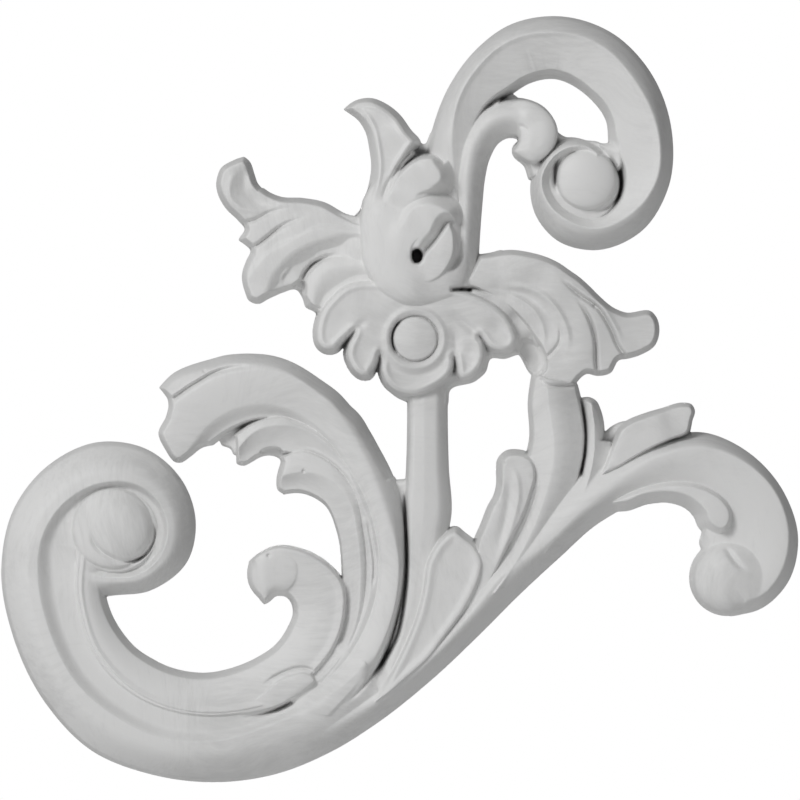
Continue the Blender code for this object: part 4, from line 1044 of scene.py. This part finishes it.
# %% The left leaf
start_group()
plate("left_leaf",
      [(244, 156), (249, 160), (255, 175), (258, 183), (264, 188), (270, 192), (280, 196), (303, 197.5), (325, 202),
       (343, 212), (355, 218), (380, 225), (385, 292), (350, 300), (330, 312), (318, 318), (315, 313), (305, 307),
       (302, 298), (296, 290), (282, 293), (268, 299), (258, 304), (248, 300), (245, 293), (241.5, 275), (246, 260),
       (250, 251), (242, 243), (238, 240), (244, 229), (238, 221), (225, 208), (217, 193), (215.5, 185), (217, 175),
       (220, 168), (232, 160)],
      [(238, 165, 0.0098), (225, 185, 0.0100), (245, 205, 0.0098), (262, 200, 0.0092), (290, 206, 0.0100),
       (330, 215, 0.0108), (300, 235, 0.0112), (360, 245, 0.0108), (270, 265, 0.0110), (255, 290, 0.0098),
       (285, 280, 0.0078), (310, 265, 0.0074), (335, 250, 0.0082)],
      round_over=9, drop=0.0026, draft=0.16)
plate("left_leaf_lobe",
      [(236, 275), (250, 250), (280, 229), (310, 214), (350, 215), (392, 235), (385, 262), (352, 250), (324, 256),
       (300, 268), (284, 284), (272, 304), (250, 312), (238, 300)],
      [(262, 262, 0.0112), (254, 290, 0.0102), (300, 240, 0.0116), (340, 236, 0.0116)], round_over=9, drop=0.0020,
      draft=0.9, base=0.0068, skirt=0.0068)
form("left_leaf_end",
      [[(302, 290), (307, 272), (320, 260), (340, 254.5), (380, 254)],
       [(313, 304), (317, 284), (331, 270), (348, 267), (380, 268)],
       [(322, 320), (330, 300), (345, 290), (362, 284), (388, 290)]],
      [(0, 0.0094, ""), (1, 0.0106, "swell"), (2, 0.0078, "swell")], rise=(0.95, 1, 1, 1.05), draft=0.12,
      ends=(False, False))
trim([(262, 188), (258, 183), (255, 175), (249, 160), (244, 156), (232, 160), (220, 168), (217, 175), (215.5, 185),
      (217, 193), (225, 208), (238, 221), (244, 229), (240, 236), (238, 240), (242, 243), (250, 251), (246, 260),
      (241.5, 275), (245, 293), (248, 300), (258, 304), (268, 299), (282, 293), (296, 290), (302, 298), (305, 307),
      (315, 313), (318, 318), (315, 330)],
      side=1, draft=0.15)
end_group("left leaf, trimmed", 0.001)

# %% [markdown]
# Its veins are soft valleys with sharper creases in them. Wide shallow grooves make the valleys, and narrow
# ones the creases. A texture could fake them, but they catch the light from the side, so they are real.

# %% Veins of the left leaf
groove([(250, 163), (245, 178), (245, 192), (258, 202), (285, 202)], 7.0, 0.0013, fade=(0.2, 0.5))
groove([(240, 171), (233, 178), (230, 187), (231, 197), (243, 209), (262, 210.5), (290, 205)], 3.0, -0.0006,
      fade=(0.2, 0.4))
groove([(238, 224), (246, 223), (256, 220), (272, 212), (297, 206)], 2.0, 0.0018, fade=(0.0, 0.9))
groove([(247, 248), (255, 246.5), (266, 239), (280, 228), (297, 220), (308, 217)], 1.8, 0.0020, fade=(0.1, 0.6))
groove([(249, 228), (243, 236), (246, 243), (254, 244)], 1.5, 0.0008, fade=(0.3, 0.3))
groove([(299, 296), (301, 284), (306, 272), (312, 265), (320, 260), (342, 254)], 2.0, 0.0034, fade=(0.0, 0.5))
groove([(281, 287), (283, 276), (293, 266)], 1.5, -0.0004, fade=(0.3, 0.3))
groove([(304, 300), (312, 306), (322, 309)], 1.3, 0.0010, fade=(0.2, 0.1))
cut([(294, 286), (302, 281), (303, 299), (301, 303), (297, 293)], 0.003, draft=0.12, reach=3)
print(f"left leaf: {relief[int(235 * FINENESS), int(300 * FINENESS)] * 1000:.1f} mm at its middle")

# %% [markdown]
# ## The leaf on the right of the flower
#
# The leaf on the right droops and ends in a blunt tip. A web between it and the rosette falls away into
# shadow. A loft would need the leaf's edges as rails of equal length, and its edge is ragged. So it is a
# plate as well, with more stated heights along its ribs and in its valleys. The web has five, which fall
# along its length.

# %% The right leaf and its web
start_group()
plate("right_leaf",
      [(478, 254), (490, 252.5), (510, 249.5), (530, 252), (550, 258), (560, 263), (570, 270), (580, 277),
       (590, 286), (600, 296), (615, 308), (625, 312), (653, 312), (657, 317), (660, 330), (655, 346), (643, 354),
       (627, 359), (620, 360), (611, 373), (597, 376), (587, 374), (580, 379), (576, 384), (574, 386), (556, 387.5),
       (543, 384), (537, 376), (541, 357), (528, 333), (505, 309), (475, 292), (462, 288), (470, 268)],
      [(485, 272, 0.0100), (520, 266, 0.0108), (560, 290, 0.0110), (590, 310, 0.0108), (636, 330, 0.0098),
       (605, 355, 0.0096), (583, 350, 0.0104), (555, 310, 0.0102), (575, 378, 0.0090), (556, 360, 0.0088),
       (520, 300, 0.0092), (500, 298, 0.0088), (540, 330, 0.0084)],
      round_over=7, drop=0.0022, draft=0.14)
end_group("right leaf, joined", 0.001)
plate("web_by_flower",
      [(455, 284), (478, 286), (508, 298), (534, 325), (550, 352), (549, 374), (534, 376), (518, 354), (496, 340),
       (470, 318)],
      [(470, 300, 0.0095), (500, 306, 0.0088), (520, 328, 0.0066), (530, 348, 0.0040), (540, 368, 0.0020)],
      draft=0.15)

# %% Veins of the right leaf
groove([(557, 276), (580, 296), (597, 308), (610, 328), (619, 348), (625, 356)], 1.8, 0.0020, fade=(0.3, 0.0))
groove([(562, 277), (584, 294), (601, 306), (614, 326), (623, 344)], 2.4, -0.0005, fade=(0.3, 0.2))
groove([(574, 296), (588, 317), (595, 340), (596, 362), (597, 374)], 1.8, 0.0024, fade=(0.4, 0.0))
groove([(495, 290), (510, 287), (525, 288), (540, 294), (560, 315), (568, 340), (563, 362)], 3.2, -0.0008,
      fade=(0.3, 0.3))
groove([(488, 293), (508, 292), (524, 295), (540, 306), (552, 323), (555, 342)], 5.0, 0.0010, fade=(0.3, 0.3))
groove([(480, 290), (515, 297), (535, 312), (544, 333), (543, 350)], 2.4, -0.0006, fade=(0.3, 0.2))
groove([(557, 320), (559, 342), (550, 354), (543, 359)], 1.5, 0.0010, fade=(0.4, 0.1))
groove([(540, 377), (545, 384), (560, 386.5), (577, 385)], 1.8, 0.0014, fade=(0.1, 0.0))
groove([(510, 262), (535, 265), (560, 278), (575, 292)], 5.0, -0.0004, fade=(0.4, 0.4))
groove([(449, 290.5), (460, 289.5), (474, 290.5)], 2.0, 0.0050, fade=(0.2, 0.2))
cut([(524, 342), (533, 345), (541, 354), (541, 370), (534, 372), (527, 361), (521, 351)], 0.0022, draft=0.6,
      reach=4)
print(f"right leaf: {relief[int(290 * FINENESS), int(560 * FINENESS)] * 1000:.1f} mm at its middle")

# %% [markdown]
# ## Pinholes
#
# A resin casting has a few pinholes where air was caught in the mould. They could be dark dots in the
# paint, but from the side those would look flat. They are pressed into the relief as tiny hollows.

# %% Pinholes
PINHOLES = ((269, 555), (205, 371), (540, 346), (503, 463), (304, 471), (594, 307))
for spot in PINHOLES:
    hollow(spot, 1.4, 0.0012)
print("pinholes:", len(PINHOLES))

# %% [markdown]
# ## From heights to a mesh
#
# Now the board becomes a mesh. A primitive grid with a Displace modifier would be the bpy way, but it
# would keep a million points, most of them over empty board. So only the samples on the ornament become
# points, and each square of four samples becomes a face. A very light blur goes first, because the primer
# has rounded every edge by a fraction of a millimetre.

# %% Primer rounds the edges
PRIMER_BLUR = 0.5           # squares


def blurred(field, radius):
    """The field smoothed by a bell curve of this radius in squares."""
    reach = int(math.ceil(3 * radius * FINENESS))
    bell = np.exp(-0.5 * (np.arange(-reach, reach + 1) / (radius * FINENESS)) ** 2)
    bell /= bell.sum()
    for axis in (0, 1):
        padded = np.pad(field, [(reach, reach) if a == axis else (0, 0) for a in (0, 1)], mode="edge")
        field = sum(weight * np.take(padded, np.arange(i, i + SAMPLES), axis=axis) for i, weight in enumerate(bell))
    return field


relief = blurred(relief, PRIMER_BLUR)
print(f"highest point: {relief.max() * 1000:.2f} mm")

# %% Which samples are carved
kept = relief > 0
cells = kept[:-1, :-1] | kept[1:, :-1] | kept[1:, 1:] | kept[:-1, 1:]
used = np.zeros(relief.shape, bool)
for r, c in ((0, 0), (1, 0), (1, 1), (0, 1)):
    used[r:SAMPLES - 1 + r, c:SAMPLES - 1 + c] |= cells
print("carved samples:", int(kept.sum()), "of", kept.size)

# %% The sheet
def on_drawing(x, y, height=0.0):
    """The point in space of a place on the drawing, at a height above the back."""
    return (x - BUTTON_CENTRE[0]) * SQUARE, -height, (BUTTON_CENTRE[1] - y) * SQUARE


number = np.cumsum(used).reshape(used.shape) - 1
row, column = np.nonzero(used)
points = np.stack(on_drawing(WHERE[column], WHERE[row], relief[row, column]), axis=1)
row, column = np.nonzero(cells)
corners = np.stack([number[row, column], number[row + 1, column], number[row + 1, column + 1],
                    number[row, column + 1]], axis=1)
mesh = bpy.data.meshes.new("scroll_onlay_carved")
mesh.vertices.add(len(points))
mesh.vertices.foreach_set("co", points.ravel())
mesh.loops.add(corners.size)
mesh.loops.foreach_set("vertex_index", corners.ravel())
mesh.polygons.add(len(corners))
mesh.polygons.foreach_set("loop_start", np.arange(0, corners.size, 4))
mesh.update(calc_edges=True)
mesh.validate()
carving = bpy.data.objects.new("scroll_onlay_carved", mesh)
bpy.context.scene.collection.objects.link(carving)
print("sheet:", len(corners), "squares")

# %% [markdown]
# ## Cut at the back, and thinned
#
# The walls still run on behind the wall that the onlay is glued to. Bisect cuts them on a plane just in
# front of the back and throws away what is behind it. Then the Decimate modifier takes out points where
# the surface is nearly flat and keeps them in the creases, which an even grid can't do. A scrap that isn't
# joined to the highest point is dropped, since the real piece is one casting.

# %% Operators on one object
def select_only(*things):
    """Selects these objects and nothing else, and makes the first of them active."""
    bpy.ops.object.select_all(action="DESELECT")
    for thing in things:
        thing.select_set(True)
    bpy.context.view_layer.objects.active = things[0]


def thin(thing, ratio):
    """Collapses the edges that matter least, down to this share of the triangles."""
    modifier = thing.modifiers.new("thin", "DECIMATE")
    modifier.ratio = ratio
    select_only(thing)
    bpy.ops.object.modifier_apply(modifier=modifier.name)


select_only(carving)
print("selected:", [thing.name for thing in bpy.context.selected_objects])

# %% Cut off at the back
RIM_EDGE = 0.0001           # upright strip between the walls and the flat back
bpy.ops.object.mode_set(mode="EDIT")
bpy.ops.mesh.select_all(action="SELECT")
bpy.ops.mesh.bisect(plane_co=(0, -RIM_EDGE, 0), plane_no=(0, 1, 0), clear_outer=True)
bpy.ops.object.mode_set(mode="OBJECT")
print("after the cut:", len(carving.data.polygons), "faces")

# %% Thinned, and one piece only
FRONT_TRIANGLES = 150000
thin(carving, FRONT_TRIANGLES / sum(len(face.vertices) - 2 for face in carving.data.polygons))
highest = np.argmin([point.co.y for point in carving.data.vertices])
bpy.ops.object.mode_set(mode="EDIT")
bpy.ops.mesh.select_all(action="DESELECT")
bpy.ops.object.mode_set(mode="OBJECT")
carving.data.vertices[highest].select = True
bpy.ops.object.mode_set(mode="EDIT")
bpy.ops.mesh.select_linked()
bpy.ops.mesh.select_all(action="INVERT")
bpy.ops.mesh.delete(type="VERT")
bpy.ops.object.mode_set(mode="OBJECT")
print("thinned:", len(carving.data.polygons), "triangles")

# %% [markdown]
# ## Closed at the back
#
# The sheet is open behind. Fill would close it with long slivers across a loop of thousands of edges, and
# may cross the openings in the ornament. A flat twin of the sheet, turned to face back, fits its rim
# exactly, holes and all. A narrow strip joins the two. One more thinning then takes most of the twin's
# triangles away, because it is flat, and leaves the carved side nearly as it was.

# %% The rim's open edges
def triangles_of(mesh):
    """A mesh's points, its triangles, and its open edges in the direction of their triangles."""
    mesh.calc_loop_triangles()
    points = np.empty(3 * len(mesh.vertices))
    mesh.vertices.foreach_get("co", points)
    triangles = np.empty(3 * len(mesh.loop_triangles), int)
    mesh.loop_triangles.foreach_get("vertices", triangles)
    points, triangles = points.reshape(-1, 3), triangles.reshape(-1, 3)
    sides = np.concatenate([triangles[:, [0, 1]], triangles[:, [1, 2]], triangles[:, [2, 0]]])
    code = sides.min(axis=1) * len(points) + sides.max(axis=1)
    _, first, times = np.unique(code, return_index=True, return_counts=True)
    return points, triangles, sides[first[times == 1]]


points, triangles, edges = triangles_of(carving.data)
print("open edges round the rim:", len(edges))

# %% The flat back
BACK_SHARE = 0.60           # share of all triangles kept when the flat back is thinned
points[edges.ravel(), 1] = -RIM_EDGE
count = len(points)
strip = np.concatenate([np.stack([edges[:, 1], edges[:, 0], edges[:, 0] + count], axis=1),
                        np.stack([edges[:, 1], edges[:, 0] + count, edges[:, 1] + count], axis=1)])
both_sides = np.concatenate([points, points * (1, 0, 1)])
faces = np.concatenate([triangles, strip, triangles[:, ::-1] + count])
solid = bpy.data.meshes.new("scroll_onlay_carved")
solid.from_pydata(both_sides.tolist(), [], faces.tolist())
carving.data = solid
thin(carving, BACK_SHARE)
print("closed:", len(carving.data.polygons), "triangles,", len(triangles_of(carving.data)[2]), "open edges")

# %% [markdown]
# ## In place of the CAD node
#
# The carving rides on the fixed body and stands in for the CAD solid, which has the same outline with
# plainer faces. Faces that meet at less than 60 degrees are shaded smooth. A plain Shade Smooth would
# smear light over the corner between wall and back.

# %% Joined to the frame
SMOOTH_BELOW = math.radians(60)
select_only(carving)
bpy.ops.object.shade_smooth_by_angle(angle=SMOOTH_BELOW)
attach(carving, "root")
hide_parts("scroll_onlay")
print("carving:", carving.name, "in place of scroll_onlay")

# %% [markdown]
# ## Painted shade in the creases
#
# Every deep crease of the real piece lies in shade, because little light gets into it. That shade is painted
# into the colour here. Ambient occlusion in the shader would darken creases too, but it depends on the
# renderer. Here the depth is measured on the board: a place lies in a crease when it is lower than the
# blurred board round it. The measure is kept in the mesh as an attribute, so it stays with the model
# wherever it goes. The flat back has none.

# %% The crease attribute
# The crease measure sets how dark the painted shade is in each crease.
CREASE_WIDTH = 7            # squares over which the board is blurred
SHALLOW = 0.0016            # less than this below its surroundings is no crease
DEEP = 0.0056               # this far below them a crease is as dark as it gets


def sampled(field, places):
    """The board's values at points of the carving."""
    column = ((places[:, 0] / SQUARE + BUTTON_CENTRE[0]) - WHERE[0]) / (WHERE[1] - WHERE[0])
    row = ((BUTTON_CENTRE[1] - places[:, 2] / SQUARE) - WHERE[0]) / (WHERE[1] - WHERE[0])
    row, column = (np.clip(np.rint(value).astype(int), 0, SAMPLES - 1) for value in (row, column))
    return field[row, column]


places = np.empty(3 * len(carving.data.vertices))
carving.data.vertices.foreach_get("co", places)
places = places.reshape(-1, 3)
below = sampled(blurred(np.maximum(relief, 0), CREASE_WIDTH), places) + places[:, 1]
crease = np.clip((below - SHALLOW) / (DEEP - SHALLOW), 0, 1)
crease[places[:, 1] > -RIM_EDGE * 1.5] = 0
attribute = carving.data.attributes.new("crease", "FLOAT", "POINT")
attribute.data.foreach_set("value", crease)
print("in a crease:", int((crease > 0.5).sum()), "of", len(crease), "points")

# %% [markdown]
# ## Shader maths
#
# The paint is worked out by nodes. Linked by hand in a script, a few sums take a page. One small class wraps
# an output of a node, so that a sum is written as a sum, and one method makes any other node from its type,
# its settings and what feeds it. Colours go through Mix nodes, because a Math node would turn them gray.

# %% A socket that can be added and multiplied
class Socket:
    """One output of a node, which can be added, multiplied and mixed with others in plain formulas."""

    def __init__(self, tree, output):
        self.tree, self.output = tree, output

    @classmethod
    def node(cls, tree, kind, inputs=None, output=0, **settings):
        """Any node of this kind, with these settings, fed with these values or links."""
        made = tree.nodes.new(kind)
        for key, value in settings.items():
            setattr(made, key, value)
        for key, value in (inputs or {}).items():
            if isinstance(value, Socket):
                tree.links.new(value.output, made.inputs[key])
            else:
                made.inputs[key].default_value = value
        return cls(tree, made.outputs[output])

    def maths(self, operation, other):
        """A Math node on this value and another."""
        return self.node(self.tree, "ShaderNodeMath", {0: self, 1: other}, operation=operation)

    def __add__(self, other):
        return self.maths("ADD", other)

    def __mul__(self, other):
        return self.maths("MULTIPLY", other)

    __radd__, __rmul__ = __add__, __mul__

    def step(self, low, high):
        """Nothing below the low value, one above the high value, and smooth between."""
        return self.node(self.tree, "ShaderNodeMapRange", {"Value": self, "From Min": low, "From Max": high},
                         interpolation_type="SMOOTHSTEP")

    def mixed(self, first, second):
        """Two numbers mixed by this share."""
        return self.node(self.tree, "ShaderNodeMix", {"Factor": self, "A": first, "B": second}, output="Result",
                         data_type="FLOAT")

    def colour(self, first, second):
        """Two colours mixed by this share."""
        return self.node(self.tree, "ShaderNodeMix", {"Factor": self, "A": first, "B": second}, output="Result",
                         data_type="RGBA")

    def vector(self, operation, other):
        """A Vector Math node on these coordinates and others."""
        return self.node(self.tree, "ShaderNodeVectorMath", {0: self, 1: other}, operation=operation)

    def noise(self, scale, detail=3.0, roughness=0.5):
        """A cloudy pattern between nothing and one, with this many bumps to the metre."""
        return self.node(self.tree, "ShaderNodeTexNoise", {"Vector": self, "Scale": scale, "Detail": detail,
                                                           "Roughness": roughness}, output="Fac")


print("socket class ready:", [name for name in vars(Socket) if not name.startswith("__")])

# %% [markdown]
# ## The primer's colour
#
# The real surface is a white primer, put on with a brush, matt to satin. It has fine streaks along the
# strokes, which change direction from place to place, and broad patches where it is thinner. The creases get
# painted shade. An image of brush strokes would repeat and would need a UV map. Noise, stretched along one axis
# and bent by a second, broader noise, gives endless strokes on Object coordinates.

# %% Brush strokes
STROKES = 620.0             # brush strokes to the metre, side by side
CROSS_STROKES = 560.0
ALONG = 0.16                # a stroke is about six times as long as it is wide
BEND = (0.05, 0.05, 0.05)   # how far broad noise bends the strokes, in metres
PATCH = 16.0                # changes of direction to the metre
primer = bpy.data.materials.new("primed_resin")
primer.use_nodes = True
tree = primer.node_tree
place = Socket.node(tree, "ShaderNodeTexCoord", output="Object")
warp = Socket.node(tree, "ShaderNodeTexNoise", {"Vector": place, "Scale": 14.0, "Detail": 2.0}, output="Color")
curved = place.vector("ADD", warp.vector("MULTIPLY", BEND))
strokes = curved.vector("MULTIPLY", (1.0, 0.6, ALONG)).noise(STROKES, detail=4.0, roughness=0.65)
cross = curved.vector("MULTIPLY", (ALONG, 0.6, 1.0)).noise(CROSS_STROKES, detail=4.0, roughness=0.65)
streaks = place.noise(PATCH, detail=1.0).step(0.42, 0.58).mixed(strokes, cross)
clouds = place.noise(28.0, detail=2.0)
print("strokes:", len(tree.nodes), "nodes so far")

# %% White, thin, and painted shade in the creases
PRIMER_WHITE = (0.80, 0.80, 0.795, 1)
PRIMER_THIN = (0.70, 0.70, 0.695, 1)
# painted shade: the dark gray that deep creases are painted, in place of the shade that falls in them
CREASE_SHADE = (0.16, 0.16, 0.16, 1)
depth = Socket.node(tree, "ShaderNodeAttribute", output="Fac", attribute_name="crease")
worn = (clouds * 0.7 + streaks * 0.5).step(0.50, 0.80)
paint = worn.colour(PRIMER_WHITE, PRIMER_THIN)
# painted shade: the crease measure darkens the paint towards the painted-shade gray
paint = (depth.step(0.10, 0.90) * 0.9).colour(paint, CREASE_SHADE)
shader = tree.nodes["Principled BSDF"]
tree.links.new(paint.output, shader.inputs["Base Color"])
print("colour linked from", paint.output.node.name)

# %% [markdown]
# Strokes also show in the gloss. The same streaks feed the roughness and a slight bump, so that a ridge of
# paint is seen in the colour, in the shine and in the light all at one place. The shine itself is weak and
# the same everywhere, so it is set on the shader's own socket.

# %% Gloss and brush marks
roughness = clouds * 0.10 + streaks * 0.12 + 0.42
tree.links.new(roughness.output, shader.inputs["Roughness"])
bumps = streaks * 0.6 + place.noise(900.0, detail=2.0) * 0.4
bump = Socket.node(tree, "ShaderNodeBump", {"Height": bumps, "Strength": 0.28, "Distance": 0.0003}, output="Normal")
tree.links.new(bump.output, shader.inputs["Normal"])
shader.inputs["Specular IOR Level"].default_value = 0.35
carving.data.materials.clear()
carving.data.materials.append(primer)
print("primer:", len(tree.nodes), "nodes")

# %% [markdown]
# ## The camera
#
# The photograph looks straight at the onlay from the front, level with its middle, and shows almost nothing
# of the side walls. An orthographic camera would show none. A camera far off with a long lens shows a
# little, as the photograph does. The lens follows from the distance and from the width of the drawing, at
# the height where most of the outline lies.

# %% Camera
CAMERA_DISTANCE = 2.2
SENSOR = 36.0
MIDDLE_HEIGHT = 0.004       # height above the back that fills the frame exactly
x, _, z = on_drawing(PICTURE / 2, PICTURE / 2)
bpy.ops.object.camera_add(location=(x, -CAMERA_DISTANCE, z), rotation=(math.pi / 2, 0, 0))
camera = bpy.context.object
camera.data.sensor_width = SENSOR
camera.data.lens = SENSOR * (CAMERA_DISTANCE - MIDDLE_HEIGHT) / (PICTURE * SQUARE)
bpy.context.scene.camera = camera
print(f"lens: {camera.data.lens:.0f} mm")

# %% [markdown]
# ## The light
#
# The photograph was taken in soft light from the upper left, on pure white. A white backdrop behind the
# onlay would throw white light on its edges. Instead the world looks white to the camera but gives less
# light than it shows, and a little more of it from the left and from below. One large lamp from the upper
# left gives the shading its direction. A weaker one straight behind shows the flat back in a view from
# there, and doesn't reach the front.

# %% The studio's white
bpy.context.scene.view_settings.view_transform = "Standard"
AMBIENT = 0.335
MORE_FROM = (-0.18, 0.0, -0.06)     # how much more ambient light comes along each axis
world = bpy.data.worlds.new("studio")
bpy.context.scene.world = world
world.use_nodes = True
studio = world.node_tree
sky = Socket.node(studio, "ShaderNodeTexCoord", output="Generated")
towards = Socket.node(studio, "ShaderNodeVectorMath", {0: sky, 1: MORE_FROM}, output="Value", operation="DOT_PRODUCT")
ambient = Socket.node(studio, "ShaderNodeBackground", {"Color": (1, 1, 1, 1), "Strength": towards + AMBIENT})
seen = Socket.node(studio, "ShaderNodeBackground", {"Color": (1, 1, 1, 1)})
by_camera = Socket.node(studio, "ShaderNodeLightPath", output="Is Camera Ray")
either = Socket.node(studio, "ShaderNodeMixShader", {0: by_camera, 1: ambient, 2: seen})
studio.links.new(either.output, studio.nodes["World Output"].inputs["Surface"])
print("studio:", len(studio.nodes), "nodes")

# %% The two lamps
def soft_light(name, location, size, power):
    """A square area light that faces the ornament."""
    bpy.ops.object.light_add(type="AREA", location=location)
    lamp = bpy.context.object
    lamp.name = name
    lamp.data.shape = "SQUARE"
    lamp.data.size = size
    lamp.data.energy = power
    lamp.rotation_euler = (-lamp.location.normalized()).to_track_quat("-Z", "Y").to_euler()
    print(f"{name}: {power} W from {lamp.location.length:.2f} m")


soft_light("key", (-0.60, -1.10, 0.60), 0.40, 8.3)
soft_light("behind", (0.00, 1.40, 0.00), 0.30, 3.0)

# %% [markdown]
# ## The floor
#
# The onlay is fixed to a wall in use, so nothing stands on this floor. It is there to give the views from
# above a pale ground. It lies well below, where the photograph's own view doesn't reach, and is marked as
# stage, so that it isn't taken for a part of the object.

# %% A pale floor
FLOOR_SIDE = 12
FLOOR_BELOW = 0.45          # under the origin
bpy.ops.mesh.primitive_plane_add(size=FLOOR_SIDE, location=(0, 0, -FLOOR_BELOW))
floor_plane = bpy.context.object
floor_plane.name = "floor"
pale = bpy.data.materials.new("pale_floor")
pale.use_nodes = True
pale.node_tree.nodes["Principled BSDF"].inputs["Base Color"].default_value = (0.9, 0.9, 0.9, 1)
pale.node_tree.nodes["Principled BSDF"].inputs["Roughness"].default_value = 0.9
floor_plane.data.materials.append(pale)
floor_plane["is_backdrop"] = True
print(f"floor: {FLOOR_SIDE} m wide, {FLOOR_BELOW} m below the origin")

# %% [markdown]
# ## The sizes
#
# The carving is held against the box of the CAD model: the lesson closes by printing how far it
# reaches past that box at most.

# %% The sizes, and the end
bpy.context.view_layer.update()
past = [max(abs(a - b) for a, b in zip(*pair)) for pair in zip(cad_box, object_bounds())]
print(f"past the CAD box by {max(past) * 1000:.2f} mm at most")
